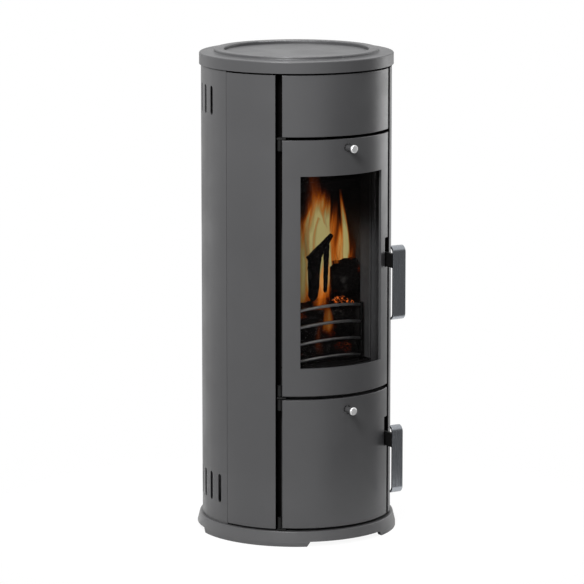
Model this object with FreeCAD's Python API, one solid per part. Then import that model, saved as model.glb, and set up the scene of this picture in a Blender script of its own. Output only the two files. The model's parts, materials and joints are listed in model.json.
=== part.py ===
import FreeCAD, Part
import math
import os

# Round workshop stove: a cast base, a steel body tube lined with firebrick, a glazed fire door
# over an ash door, a curved casing and a cast top plate.
# Millimetres. +Z is up, the front faces -Y, +X is to the right seen from the front.
# The origin is the centre of the base, on the floor.
# Plan angles are in degrees from the front, positive towards +X.

# Plan of the outside
BODY_RADIUS = 215.0
SIDE_EDGE_ANGLE = 44.7
SIDE_GAP = 15.4
SEAM_ANGLE = 78.5
SEAM_GAP = 1.0
CASING_SHEET = 2.0

# Heights of the front, from the floor up
BASE_HEIGHT = 33.0
FLOOR_GAP = 6.0
ASH_DOOR_HEIGHT = 293.0
MIDDLE_GAP = 8.4
FIRE_DOOR_HEIGHT = 575.0
UPPER_GAP = 6.5
UPPER_PANEL_HEIGHT = 137.0
TOP_GAP = 4.2

# Cast base
BASE_LEDGE = 6.0
BASE_FLARE = 6.0
BASE_BAND = 9.0
BASE_WALL = 12.0
BASE_WEB = 8.0
BASE_EDGE_ROUND = 1.5
FOOT_NOTCH_ANGLES = (0.0, 124.0, -124.0)
FOOT_NOTCH_WIDTH = 200.0
FOOT_NOTCH_HEIGHT = 10.8
FOOT_NOTCH_SLOPE = 7.0

# Cast top plate with its raised ring and the plate let into it
TOP_OVERHANG = 4.0
TOP_PLATE_HEIGHT = 26.2
TOP_RIM_WALL = 8.0
TOP_SKIN = 12.0
RING_RADIUS = 186.0
RING_WIDTH = 23.0
RING_HEIGHT = 7.5
RING_SHOULDER = 10.0
TOP_EDGE_ROUND = 3.0
INSERT_THICKNESS = 6.0
INSERT_LEDGE = 12.0
INSERT_CLEARANCE = 0.4

# Doors
DOOR_DEPTH = 25.0
DOOR_SKIN = 5.0
DOOR_WALL = 4.0
DOOR_LIP = 3.0
DOOR_LIP_WIDTH = 12.0
DOOR_EDGE_ROUND = 1.2
GASKET_THICKNESS = 5.6
GASKET_WIDTH = 8.0

# Window of the fire door
WINDOW_STILE = 40.5
WINDOW_SILL = 63.0
WINDOW_HEAD = 80.6
WINDOW_WALL = 1.8
WINDOW_WALL_GAP = 1.5
WINDOW_WALL_CLEARANCE = 2.0
GLASS_THICKNESS = 4.0
GLASS_OVERLAP = 10.0
GLASS_TAPE = 2.2
GLASS_TAPE_WIDTH = 8.0
CLAMP_WIDTH = 16.0
CLAMP_FOOT = 6.0
CLAMP_TONGUE = 6.0
CLAMP_THICKNESS = 2.5
CLAMP_EDGE_GAP = 1.2
CLAMP_END_ANGLES = (-16.0, 16.0)
CLAMP_SCREW_RADIUS = 2.0
CLAMP_SCREW_HEAD = 3.0
CLAMP_SCREW_HEAD_HEIGHT = 2.0

# Door hinges
HINGE_EDGE_OFFSET = 6.5
HINGE_INSET = 6.5
HINGE_PIN_RADIUS = 3.0
KNUCKLE_RADIUS = 5.5
KNUCKLE_HEIGHT = 24.0
KNUCKLE_WEB = 6.0
HINGE_PLATE = 4.0
HINGE_PLATE_REACH = 14.0
PIN_ENGAGEMENT = 20.0

# Lifting latches and handles
LATCH_INSET = 13.5
LATCH_BAR_WIDTH = 10.0
LATCH_BAR_THICKNESS = 5.0
LATCH_LIP_GAP = 4.0
LATCH_LIFT = 30.0
GUIDE_WALL = 2.1
GUIDE_HEIGHT = 12.0
GUIDE_END_DISTANCE = 46.0
GUIDE_ARM_GAP = 2.0
HOOK_HEIGHT = 12.0
HOOK_REACH = 10.0
HOOK_WIDTH = 6.0
HOOK_TIP = 10.0
HOOK_TIP_THICKNESS = 3.0
KEEPER_THICKNESS = 5.0
KEEPER_DEPTH = 9.4
KEEPER_WIDTH = 4.5
KEEPER_LIP = 2.6
KEEPER_DROP = 22.0
KEEPER_CLEARANCE = 0.6
KEEPER_SWING_GAP = 1.2
HANDLE_NOTCH_DEPTH = 15.0
HANDLE_NOTCH_HEADROOM = 4.0
ARM_INSET = 10.4
ARM_THICKNESS = 8.0
ARM_HEIGHT = 32.0
ARM_TAB = 4.4
ARM_SEAT = 1.0
ARM_BOLT_RADIUS = 2.5
ARM_BOLT_HEAD = 4.5
ARM_BOLT_HEAD_HEIGHT = 2.6
ARM_BOLT_EDGE = 8.0
GRIP_STANDOFF = 34.8
GRIP_THICKNESS = 5.0
GRIP_BEND = 15.0
GRIP_CORNER = 4.0
FIRE_NOTCH_RISE = 270.0
FIRE_BAR_FOOT = 121.0
FIRE_BAR_HEAD = 162.0
FIRE_GRIP_BELOW = 119.5
FIRE_GRIP_LENGTH = 169.0
FIRE_GRIP_WIDTH = 32.8
ASH_NOTCH_RISE = 160.0
ASH_BAR_FOOT = 51.0
ASH_BAR_HEAD = 48.0
ASH_GRIP_BELOW = 107.0
ASH_GRIP_LENGTH = 156.0
ASH_GRIP_WIDTH = 27.6

# Air controls, one at the top of each door
FIRE_KNOB_DROP = 20.4
ASH_KNOB_DROP = 27.0
STEM_RADIUS = 6.9
STEM_HOLE_GAP = 3.0
KNOB_REACH = 26.5
KNOB_CAP_RADIUS = 8.9
KNOB_CAP_HEIGHT = 4.5
KNOB_CAP_BEVEL = 1.6
BUSH_WALL = 5.0
BUSH_LENGTH = 5.0
AIR_SLIDE_THICKNESS = 3.2
AIR_SLIDE_DEPTH = 6.0
AIR_SLIDE_HALF_ANGLE = 10.0
AIR_TAB_THICKNESS = 2.3
AIR_TAB_WIDTH = 10.0
AIR_PORT_DEPTH = 4.6
AIR_PORT_START = 1.5
AIR_PORT_END = 8.0

# Body tube and front frame
FRAME_THICKNESS = 4.0
FRAME_HALF_ANGLE = 50.0
OPENING_HALF_ANGLE = 33.4
JAMB_DEPTH = 36.0
JAMB_SHEET = 3.0
FIRE_OPENING_SILL = 60.0
FIRE_OPENING_HEAD = 40.0
ASH_OPENING_MARGIN = 22.0
PILLAR_SETBACK = 2.0
PILLAR_THICKNESS = 4.0
PILLAR_LIP = 15.0

# Casing
SIDE_PANEL_LIFT = 4.3
REAR_PANEL_TOP_GAP = 1.8
JOINER_HALF_WIDTH = 13.0
JOINER_SHEET = 2.2
JOINER_MARGIN = 25.0
POST_RADIUS = 6.0
POST_MARGIN = 120.0
SIDE_POST_ANGLE = 62.0
REAR_POST_ANGLES = (133.0, 146.0)
CASING_SCREW_RADIUS = 2.5
CASING_SCREW_HEAD = 5.0
CASING_SCREW_HEAD_HEIGHT = 2.4
CASING_SCREW_DEPTH = 12.0
UPPER_PANEL_SHEET = 4.0
UPPER_POST_ANGLE = 28.0
UPPER_POST_MARGIN = 22.0

# Vent slots of the rear panel
SLOT_WIDTH = 12.0
SLOT_HEIGHT = 65.0
LOWER_SLOT_RISE = 46.5
LOWER_SLOT_FIRST = 85.9
LOWER_SLOT_PITCH = 9.7
LOWER_SLOT_COUNT = 4
UPPER_SLOT_DROP = 40.0
UPPER_SLOT_FIRST = 93.8
UPPER_SLOT_PITCH = 9.0
UPPER_SLOT_COUNT = 4

# Firebox
FIREBOX_FLOOR_RISE = 22.0
PLATE_THICKNESS = 5.0
GRATE_LEDGE = 7.0
GRATE_THICKNESS = 12.0
GRATE_SLOT_WIDTH = 9.0
GRATE_SLOT_PITCH = 20.0
GRATE_RIM = 14.0
FLOOR_BRICK_THICKNESS = 30.0
FLOOR_BRICK_WIDTH = 39.4
WALL_BRICK_THICKNESS = 25.0
WALL_BRICK_HEIGHT = 412.0
WALL_BRICK_STEP = 48.0
WALL_BRICK_COUNT = 5
BAFFLE_THICKNESS = 20.0
BAFFLE_WALL_GAP = 22.0
BAFFLE_FRONT = 70.0
ROOF_DROP = 34.0
GUARD_SETBACK = 20.0
GUARD_HALF_ANGLE = 34.0
GUARD_BAR_RADIUS = 3.5
GUARD_POST_RADIUS = 4.5
GUARD_BAR_COUNT = 4
GUARD_BAR_PITCH = 38.4
GUARD_FIRST_BAR = 9.0
GUARD_RISE = 12.0

# Flue outlet
FLUE_RADIUS = 75.0
FLUE_WALL = 3.0
FLUE_DROP = 138.0
FLUE_REACH = 30.0
FLUE_SPIGOT = 35.0
FLUE_SHOULDER = 2.5
FLUE_FLANGE = 14.0
FLUE_HOLE_GAP = 8.0

# Ash pan
PAN_SIDE_GAP = 3.1
PAN_CORNER_GAP = 10.25
PAN_HEIGHT = 62.0
PAN_WALL = 2.0
PAN_TOP_DROP = 9.0
PAN_PULL_WIDTH = 70.0
PAN_PULL_REACH = 12.0
PAN_PULL_THICKNESS = 3.0
RAIL_THICKNESS = 3.0
RAIL_WIDTH = 16.0
RAIL_UPSTAND = 14.0

# Clearances
CONTACT_GAP = 0.1
RUN_GAP = 0.3
PIN_GAP = 0.08
CUT_MARGIN = 1.0
EDGE_TOLERANCE = 0.01

UP = FreeCAD.Vector(0, 0, 1)
CENTRE = FreeCAD.Vector(0, 0, 0)


def arc_degrees(length, radius):
    return math.degrees(length / radius)


def plan_point(radius, angle, z=0.0):
    turn = math.radians(angle)
    return FreeCAD.Vector(radius * math.sin(turn), -radius * math.cos(turn), z)


# Places worked out from the driving dimensions
door_half_angle = SIDE_EDGE_ANGLE - arc_degrees(SIDE_GAP, BODY_RADIUS)
skin_radius = BODY_RADIUS - DOOR_SKIN
door_back_radius = BODY_RADIUS - DOOR_DEPTH
lip_radius = door_back_radius + DOOR_LIP
frame_radius = door_back_radius - CONTACT_GAP - GASKET_THICKNESS - RUN_GAP
tube_radius = frame_radius - FRAME_THICKNESS
casing_radius = BODY_RADIUS - CASING_SHEET
wall_angle = arc_degrees(DOOR_WALL, skin_radius)
window_half_angle = door_half_angle - arc_degrees(WINDOW_STILE, BODY_RADIUS)

ash_door_low = BASE_HEIGHT + FLOOR_GAP
ash_door_high = ash_door_low + ASH_DOOR_HEIGHT
fire_door_low = ash_door_high + MIDDLE_GAP
fire_door_high = fire_door_low + FIRE_DOOR_HEIGHT
upper_panel_low = fire_door_high + UPPER_GAP
upper_panel_high = upper_panel_low + UPPER_PANEL_HEIGHT
top_plate_low = upper_panel_high + TOP_GAP
top_plate_high = top_plate_low + TOP_PLATE_HEIGHT
tube_top = top_plate_high - TOP_SKIN
tube_bottom = BASE_HEIGHT

firebox_floor_high = fire_door_low + FIREBOX_FLOOR_RISE + PLATE_THICKNESS
floor_brick_high = firebox_floor_high + FLOOR_BRICK_THICKNESS
wall_brick_high = firebox_floor_high + WALL_BRICK_HEIGHT
wall_brick_half = WALL_BRICK_STEP / 2 - arc_degrees(RUN_GAP, tube_radius)
lining_outer = (tube_radius - RUN_GAP) * math.cos(math.radians(wall_brick_half))
lining_inner = lining_outer - WALL_BRICK_THICKNESS
floor_brick_outer = lining_inner - RUN_GAP
floor_brick_inner = floor_brick_outer - FLOOR_BRICK_WIDTH
grate_radius = floor_brick_inner - 2 * RUN_GAP
flue_height = top_plate_low - FLUE_DROP
flue_end = BODY_RADIUS + FLUE_REACH

opening_half_width = tube_radius * math.sin(math.radians(OPENING_HALF_ANGLE))
pan_half_width = opening_half_width - PAN_SIDE_GAP
pan_low = ash_door_high - ASH_OPENING_MARGIN - PAN_TOP_DROP - PAN_HEIGHT

hinge_angle = -(door_half_angle + arc_degrees(HINGE_EDGE_OFFSET, BODY_RADIUS))
hinge_radius = BODY_RADIUS - HINGE_INSET
hinge_point = plan_point(hinge_radius, hinge_angle)

latch_angle = door_half_angle - arc_degrees(LATCH_INSET, BODY_RADIUS)
bar_inner_radius = lip_radius + LATCH_LIP_GAP
bar_outer_radius = bar_inner_radius + LATCH_BAR_THICKNESS
bar_half_angle = arc_degrees(LATCH_BAR_WIDTH / 2, bar_inner_radius)
hook_inner_radius = bar_inner_radius - HOOK_REACH
hook_high_angle = latch_angle - bar_half_angle + arc_degrees(HOOK_WIDTH / 2, bar_inner_radius)
hook_low_angle = hook_high_angle - arc_degrees(HOOK_WIDTH, bar_inner_radius)
lip_inner_angle = door_half_angle - arc_degrees(DOOR_LIP_WIDTH, door_back_radius)

door_edge = plan_point(BODY_RADIUS, door_half_angle)
notch_left = door_edge.x - HANDLE_NOTCH_DEPTH
arm_left = door_edge.x - ARM_INSET
grip_back = door_edge.y - GRIP_STANDOFF


def sector(inner, outer, angle_low, angle_high, low, high):
    corners = [
        plan_point(inner, angle_low, low),
        plan_point(outer, angle_low, low),
        plan_point(outer, angle_low, high),
        plan_point(inner, angle_low, high),
    ]
    face = Part.Face(Part.makePolygon(corners + corners[:1]))
    return face.revolve(CENTRE, UP, angle_high - angle_low)


def front_sector(inner, outer, half_angle, low, high):
    return sector(inner, outer, -half_angle, half_angle, low, high)


def box(x_low, x_high, y_low, y_high, z_low, z_high):
    corner = FreeCAD.Vector(x_low, y_low, z_low)
    return Part.makeBox(x_high - x_low, y_high - y_low, z_high - z_low, corner)


def disc(radius, low, high):
    return Part.makeCylinder(radius, high - low, FreeCAD.Vector(0, 0, low))


def turned(shape, angle):
    copy = shape.copy()
    copy.rotate(CENTRE, UP, angle)
    return copy


def mirrored(shape):
    return shape.mirror(CENTRE, FreeCAD.Vector(1, 0, 0))


def radial_rod(radius, inner, outer, angle, z):
    rod = Part.makeCylinder(
        radius, outer - inner, FreeCAD.Vector(0, -inner, z), FreeCAD.Vector(0, -1, 0)
    )
    return turned(rod, angle)


def upright(radius, point, low, high):
    return Part.makeCylinder(radius, high - low, FreeCAD.Vector(point.x, point.y, low))


def turned_profile(points):
    corners = [FreeCAD.Vector(radius, 0, z) for radius, z in points]
    face = Part.Face(Part.makePolygon(corners + corners[:1]))
    return face.revolve(CENTRE, UP, 360)


def fuse(shapes):
    return shapes[0].multiFuse(shapes[1:]).removeSplitter()


def ring_edges(shape, radius, z):
    found = []
    for edge in shape.Edges:
        curve = edge.Curve
        if not isinstance(curve, Part.Circle):
            continue
        level = abs(curve.Center.z - z) < EDGE_TOLERANCE
        if level and abs(curve.Radius - radius) < EDGE_TOLERANCE and abs(curve.Axis.z) > 0.5:
            found.append(edge)
    return found


def round_rings(shape, rings, size):
    edges = []
    for radius, z in rings:
        edges.extend(ring_edges(shape, radius, z))
    return shape.makeFillet(size, edges)


def round_outer_edges(panel, size):
    edges = []
    for edge in panel.Edges:
        spots = [vertex.Point for vertex in edge.Vertexes]
        if all(abs(math.hypot(spot.x, spot.y) - BODY_RADIUS) < EDGE_TOLERANCE for spot in spots):
            edges.append(edge)
    return panel.makeFillet(size, edges)


def export(name, shapes):
    shape = shapes[0] if len(shapes) == 1 else Part.makeCompound(shapes)
    shape.exportStep(os.path.join("parts", name + ".step"))


# Cast base with three feet
def base_plinth():
    foot = BODY_RADIUS + BASE_LEDGE + BASE_FLARE
    ledge = BODY_RADIUS + BASE_LEDGE
    inside = foot - BASE_WALL
    web_low = BASE_HEIGHT - BASE_WEB
    plinth = turned_profile(
        [
            (0, web_low),
            (inside, web_low),
            (inside, 0),
            (foot, 0),
            (foot, BASE_BAND),
            (ledge, BASE_HEIGHT),
            (0, BASE_HEIGHT),
        ]
    )
    plinth = round_rings(plinth, [(ledge, BASE_HEIGHT)], BASE_EDGE_ROUND)
    half = FOOT_NOTCH_WIDTH / 2
    below = -CUT_MARGIN
    profile = [
        FreeCAD.Vector(-half, 0, below),
        FreeCAD.Vector(half, 0, below),
        FreeCAD.Vector(half, 0, 0),
        FreeCAD.Vector(half - FOOT_NOTCH_SLOPE, 0, FOOT_NOTCH_HEIGHT),
        FreeCAD.Vector(-half + FOOT_NOTCH_SLOPE, 0, FOOT_NOTCH_HEIGHT),
        FreeCAD.Vector(-half, 0, 0),
    ]
    face = Part.Face(Part.makePolygon(profile + profile[:1]))
    notch = face.extrude(FreeCAD.Vector(0, -foot - CUT_MARGIN, 0))
    notches = [turned(notch, angle) for angle in FOOT_NOTCH_ANGLES]
    return plinth.cut(notches)


def base_floor_plate():
    return disc(tube_radius - RUN_GAP, tube_bottom, tube_bottom + PLATE_THICKNESS)


# Cast top plate and the round plate let into its ring
def top_plate():
    rim = max(BODY_RADIUS + TOP_OVERHANG, RING_RADIUS + RING_SHOULDER)
    ring_inside = RING_RADIUS - RING_WIDTH
    recess_floor = top_plate_high - INSERT_THICKNESS
    ring_top = top_plate_high + RING_HEIGHT
    plate = turned_profile(
        [
            (ring_inside - INSERT_LEDGE, tube_top),
            (rim - TOP_RIM_WALL, tube_top),
            (rim - TOP_RIM_WALL, top_plate_low),
            (rim, top_plate_low),
            (rim, top_plate_high),
            (RING_RADIUS, top_plate_high),
            (RING_RADIUS, ring_top),
            (ring_inside, ring_top),
            (ring_inside, recess_floor),
            (ring_inside - INSERT_LEDGE, recess_floor),
        ]
    )
    rings = [
        (rim, top_plate_high),
        (RING_RADIUS, top_plate_high),
        (RING_RADIUS, ring_top),
        (ring_inside, ring_top),
    ]
    return round_rings(plate, rings, TOP_EDGE_ROUND)


def top_insert_plate():
    radius = RING_RADIUS - RING_WIDTH - INSERT_CLEARANCE
    return disc(radius, top_plate_high - INSERT_THICKNESS, top_plate_high)


# Body tube: a front frame with two openings and a shell round the back
def front_frame():
    frame = front_sector(tube_radius, frame_radius, FRAME_HALF_ANGLE, tube_bottom, tube_top)
    fire_low = fire_door_low + FIRE_OPENING_SILL
    fire_high = fire_door_high - FIRE_OPENING_HEAD
    fire_opening = front_sector(
        tube_radius - CUT_MARGIN,
        frame_radius + CUT_MARGIN,
        OPENING_HALF_ANGLE,
        fire_low,
        fire_high,
    )
    ash_opening = front_sector(
        tube_radius - CUT_MARGIN,
        frame_radius + CUT_MARGIN,
        OPENING_HALF_ANGLE,
        ash_door_low + ASH_OPENING_MARGIN,
        ash_door_high - ASH_OPENING_MARGIN,
    )
    frame = frame.cut([fire_opening, ash_opening])
    inner = SIDE_EDGE_ANGLE + arc_degrees(PILLAR_SETBACK, BODY_RADIUS)
    outer = inner + arc_degrees(PILLAR_THICKNESS, BODY_RADIUS)
    lip_end = outer + arc_degrees(PILLAR_LIP, BODY_RADIUS)
    lip_outer = casing_radius - RUN_GAP
    overlap = FRAME_THICKNESS / 2
    low = tube_bottom + SIDE_PANEL_LIFT
    high = upper_panel_high
    pillar = sector(frame_radius - overlap, lip_outer, inner, outer, low, high)
    lip = sector(lip_outer - PILLAR_THICKNESS / 2, lip_outer, outer, lip_end, low, high)
    jamb_side = opening_half_width + JAMB_SHEET
    jamb_front = -math.sqrt((frame_radius - overlap) ** 2 - jamb_side**2)
    jamb_back = JAMB_DEPTH - math.sqrt(tube_radius**2 - opening_half_width**2)
    jamb = box(opening_half_width, jamb_side, jamb_front, jamb_back, fire_low, fire_high)
    right = [pillar, lip, jamb]
    left = [mirrored(piece) for piece in right]
    return fuse([frame] + right + left)


def body_shell():
    shell = sector(
        tube_radius, frame_radius, FRAME_HALF_ANGLE, 360 - FRAME_HALF_ANGLE, tube_bottom, tube_top
    )
    hole = radial_rod(FLUE_RADIUS + FLUE_SHOULDER + RUN_GAP, 0, flue_end, 180, flue_height)
    return shell.cut(hole)


# Casing
def side_panel():
    edge = SEAM_ANGLE - arc_degrees(SEAM_GAP / 2, BODY_RADIUS)
    low = BASE_HEIGHT + SIDE_PANEL_LIFT
    return sector(casing_radius, BODY_RADIUS, SIDE_EDGE_ANGLE, edge, low, upper_panel_high)


def slot_cutter(angle, low):
    half = SLOT_WIDTH / 2
    inner = casing_radius - SLOT_WIDTH
    outer = BODY_RADIUS + SLOT_WIDTH
    ends = [low + half, low + SLOT_HEIGHT - half]
    rods = [radial_rod(half, inner, outer, angle, z) for z in ends]
    middle = turned(box(-half, half, -outer, -inner, ends[0], ends[1]), angle)
    return fuse([middle] + rods)


def slot_rows():
    rows = [
        (LOWER_SLOT_FIRST, LOWER_SLOT_PITCH, LOWER_SLOT_COUNT, BASE_HEIGHT + LOWER_SLOT_RISE),
        (
            UPPER_SLOT_FIRST,
            UPPER_SLOT_PITCH,
            UPPER_SLOT_COUNT,
            top_plate_low - UPPER_SLOT_DROP - SLOT_HEIGHT,
        ),
    ]
    cutters = []
    for first, pitch, count, low in rows:
        for step in range(count):
            angle = first + step * pitch
            cutters.extend([slot_cutter(angle, low), slot_cutter(-angle, low)])
    return cutters


def rear_posts():
    places = []
    for height in (BASE_HEIGHT + POST_MARGIN, top_plate_low - POST_MARGIN):
        for angle in REAR_POST_ANGLES:
            places.extend([(angle, height), (-angle, height)])
    return places


def side_posts():
    heights = (BASE_HEIGHT + POST_MARGIN, top_plate_low - POST_MARGIN)
    return [(side * SIDE_POST_ANGLE, height) for height in heights for side in (1, -1)]


def rear_panel():
    edge = SEAM_ANGLE + arc_degrees(SEAM_GAP / 2, BODY_RADIUS)
    high = top_plate_low - REAR_PANEL_TOP_GAP
    panel = sector(casing_radius, BODY_RADIUS, edge, 360 - edge, BASE_HEIGHT, high)
    flue_hole = FLUE_RADIUS + FLUE_SHOULDER + FLUE_HOLE_GAP
    flue = radial_rod(flue_hole, frame_radius, flue_end, 180, flue_height)
    screw_holes = [
        radial_rod(CASING_SCREW_RADIUS + CONTACT_GAP, frame_radius, flue_end, angle, z)
        for angle, z in rear_posts()
    ]
    return panel.cut(slot_rows() + [flue] + screw_holes)


def panel_joiner_strip():
    half = arc_degrees(JOINER_HALF_WIDTH, BODY_RADIUS)
    outer = casing_radius - RUN_GAP
    return sector(
        outer - JOINER_SHEET,
        outer,
        SEAM_ANGLE - half,
        SEAM_ANGLE + half,
        BASE_HEIGHT,
        upper_panel_high - JOINER_MARGIN,
    )


def casing_posts():
    inner = frame_radius + CONTACT_GAP
    outer = casing_radius - RUN_GAP
    posts = []
    for angle, z in rear_posts() + side_posts():
        post = radial_rod(POST_RADIUS, inner, outer, angle, z)
        drill = radial_rod(
            CASING_SCREW_RADIUS + CONTACT_GAP, outer - CASING_SCREW_DEPTH, outer, angle, z
        )
        posts.append(post.cut(drill))
    return posts


def casing_screws():
    screws = []
    tip = casing_radius - CASING_SCREW_DEPTH + RUN_GAP
    for angle, z in rear_posts():
        shank = radial_rod(CASING_SCREW_RADIUS, tip, BODY_RADIUS + CONTACT_GAP, angle, z)
        seat = BODY_RADIUS + CONTACT_GAP
        top = seat + CASING_SCREW_HEAD_HEIGHT
        head = radial_rod(CASING_SCREW_HEAD, seat, top, angle, z)
        screws.append(fuse([shank, head]))
    return screws


def upper_front_panel():
    panel = front_sector(
        BODY_RADIUS - UPPER_PANEL_SHEET,
        BODY_RADIUS,
        door_half_angle,
        upper_panel_low,
        upper_panel_high,
    )
    return round_outer_edges(panel, DOOR_EDGE_ROUND)


def upper_panel_posts():
    inner = frame_radius + CONTACT_GAP
    outer = BODY_RADIUS - UPPER_PANEL_SHEET - CONTACT_GAP
    heights = (upper_panel_low + UPPER_POST_MARGIN, upper_panel_high - UPPER_POST_MARGIN)
    return [
        radial_rod(POST_RADIUS, inner, outer, side * UPPER_POST_ANGLE, height)
        for height in heights
        for side in (1, -1)
    ]


# Firebox
def firebox_floor():
    low = firebox_floor_high - PLATE_THICKNESS
    plate = disc(tube_radius - RUN_GAP, low, firebox_floor_high)
    hole = disc(grate_radius - GRATE_LEDGE, low - CUT_MARGIN, firebox_floor_high + CUT_MARGIN)
    return plate.cut(hole)


def firebox_roof():
    low = tube_top - ROOF_DROP
    return disc(tube_radius - RUN_GAP, low, low + PLATE_THICKNESS)


def grate():
    low = firebox_floor_high
    high = low + GRATE_THICKNESS
    plate = disc(grate_radius, low, high)
    inside = grate_radius - GRATE_RIM
    half = GRATE_SLOT_WIDTH / 2
    slots = 2 * round((inside - GRATE_SLOT_WIDTH) / GRATE_SLOT_PITCH)
    cutters = []
    for step in range(slots):
        x = (step - (slots - 1) / 2) * GRATE_SLOT_PITCH
        reach = math.sqrt(inside**2 - x**2)
        cutters.append(box(x - half, x + half, -reach, reach, low - CUT_MARGIN, high + CUT_MARGIN))
    return plate.cut(cutters)


def wall_brick(angle):
    half = wall_brick_half
    outer_corner = tube_radius - RUN_GAP
    inner_corner = lining_inner / math.cos(math.radians(half))
    z = firebox_floor_high
    corners = [
        plan_point(outer_corner, -half, z),
        plan_point(outer_corner, half, z),
        plan_point(inner_corner, half, z),
        plan_point(inner_corner, -half, z),
    ]
    face = Part.Face(Part.makePolygon(corners + corners[:1]))
    return turned(face.extrude(UP * WALL_BRICK_HEIGHT), angle)


def floor_bricks():
    low = firebox_floor_high
    high = floor_brick_high
    seam = arc_degrees(RUN_GAP, floor_brick_outer)
    right = sector(floor_brick_inner, floor_brick_outer, seam, 180 - seam, low, high)
    side_edge = 180 - WALL_BRICK_STEP * WALL_BRICK_COUNT / 2
    front_half = side_edge - 2 * seam
    front = front_sector(lining_inner, tube_radius - RUN_GAP, front_half, low, high)
    return [right, mirrored(right), front]


def baffle_plate():
    low = wall_brick_high
    high = low + BAFFLE_THICKNESS
    radius = tube_radius - BAFFLE_WALL_GAP
    plate = disc(radius, low, high)
    smoke_gap = box(
        -radius,
        radius,
        -radius,
        -BAFFLE_FRONT,
        low - CUT_MARGIN,
        high + CUT_MARGIN,
    )
    return plate.cut(smoke_gap)


def bent_rod(start, middle, end):
    circle = Part.Arc(start, middle, end).toShape().Curve
    centre = circle.Center
    axis = circle.Axis
    spoke = start - centre
    tangent = axis.cross(spoke)
    sweep = math.degrees(spoke.getAngle(middle - centre) + (middle - centre).getAngle(end - centre))
    if tangent.dot(middle - start) < 0:
        axis = axis * -1
    ring = Part.Wire(Part.makeCircle(GUARD_BAR_RADIUS, start, tangent))
    return Part.Face(ring).revolve(centre, axis, sweep)


def log_guard():
    radius = tube_radius - GUARD_SETBACK
    foot = floor_brick_high
    pieces = []
    for step in range(GUARD_BAR_COUNT):
        z = foot + GUARD_FIRST_BAR + step * GUARD_BAR_PITCH
        pieces.append(
            bent_rod(
                plan_point(radius, -GUARD_HALF_ANGLE, z),
                plan_point(radius, 0, z + GUARD_RISE),
                plan_point(radius, GUARD_HALF_ANGLE, z),
            )
        )
    top = foot + GUARD_FIRST_BAR + (GUARD_BAR_COUNT - 1) * GUARD_BAR_PITCH
    post_top = top + 2 * GUARD_BAR_RADIUS
    for angle in (-GUARD_HALF_ANGLE, GUARD_HALF_ANGLE):
        pieces.append(upright(GUARD_POST_RADIUS, plan_point(radius, angle), foot, post_top))
    return fuse(pieces)


def flue_collar():
    inside = tube_radius - FLUE_WALL
    spigot = radial_rod(FLUE_RADIUS, 0, flue_end, 180, flue_height)
    root = FLUE_RADIUS + FLUE_SHOULDER
    neck = radial_rod(root, 0, flue_end - FLUE_SPIGOT, 180, flue_height)
    bore = radial_rod(FLUE_RADIUS - FLUE_WALL, 0, flue_end + CUT_MARGIN, 180, flue_height)
    low = flue_height - 2 * FLUE_RADIUS
    high = flue_height + 2 * FLUE_RADIUS
    saddle = sector(
        frame_radius + CONTACT_GAP, frame_radius + CONTACT_GAP + FLUE_WALL, 90, 270, low, high
    )
    flange = radial_rod(root + FLUE_FLANGE, 0, flue_end, 180, flue_height).common(saddle)
    collar = fuse([spigot, neck, flange]).cut(bore)
    return collar.cut(disc(inside, low, high))


# Ash pan and the rails it slides on
def ash_pan():
    """Five plates, welded at their edges, with a pull on the front one."""
    high = pan_low + PAN_HEIGHT
    length = math.sqrt((tube_radius - PAN_CORNER_GAP) ** 2 - pan_half_width**2)
    floor_top = pan_low + PAN_WALL
    wall_low = floor_top + CONTACT_GAP
    wall_inner = pan_half_width - PAN_WALL
    end_half = wall_inner - CONTACT_GAP
    floor = box(-pan_half_width, pan_half_width, -length, length, pan_low, floor_top)
    side = box(wall_inner, pan_half_width, -length, length, wall_low, high)
    back = box(-end_half, end_half, length - PAN_WALL, length, wall_low, high)
    front = box(-end_half, end_half, -length, PAN_WALL - length, wall_low, high)
    pull = box(
        -PAN_PULL_WIDTH / 2,
        PAN_PULL_WIDTH / 2,
        -length - PAN_PULL_REACH,
        -length,
        high - PAN_PULL_THICKNESS,
        high,
    )
    return [floor, side, mirrored(side), back, fuse([front, pull])]


def ash_pan_rail():
    outer = pan_half_width + RUN_GAP + RAIL_THICKNESS
    end = math.sqrt((tube_radius - RUN_GAP) ** 2 - outer**2)
    low = pan_low - RAIL_THICKNESS
    shelf = box(outer - RAIL_WIDTH, outer, -end, end, low, low + RAIL_THICKNESS)
    side = box(outer - RAIL_THICKNESS, outer, -end, end, low, low + RAIL_UPSTAND)
    return fuse([shelf, side])


# Doors: a curved skin with side walls and an inner lip that carries the rope seal
def door_shell(low, high):
    block = front_sector(door_back_radius, BODY_RADIUS, door_half_angle, low, high)
    block = round_outer_edges(block, DOOR_EDGE_ROUND)
    pocket = front_sector(
        lip_radius, skin_radius, door_half_angle - wall_angle, low + DOOR_WALL, high - DOOR_WALL
    )
    mouth = front_sector(
        door_back_radius - CUT_MARGIN,
        lip_radius,
        lip_inner_angle,
        low + DOOR_LIP_WIDTH,
        high - DOOR_LIP_WIDTH,
    )
    return block.cut([pocket, mouth])


def handle_notch(notch_low):
    reach = BODY_RADIUS
    high = arm_low(notch_low) + ARM_HEIGHT + LATCH_LIFT + HANDLE_NOTCH_HEADROOM
    column = box(notch_left, reach, -reach - CUT_MARGIN, 0, notch_low, high)
    return column.cut(disc(lip_radius, notch_low - CUT_MARGIN, high + CUT_MARGIN))


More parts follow.
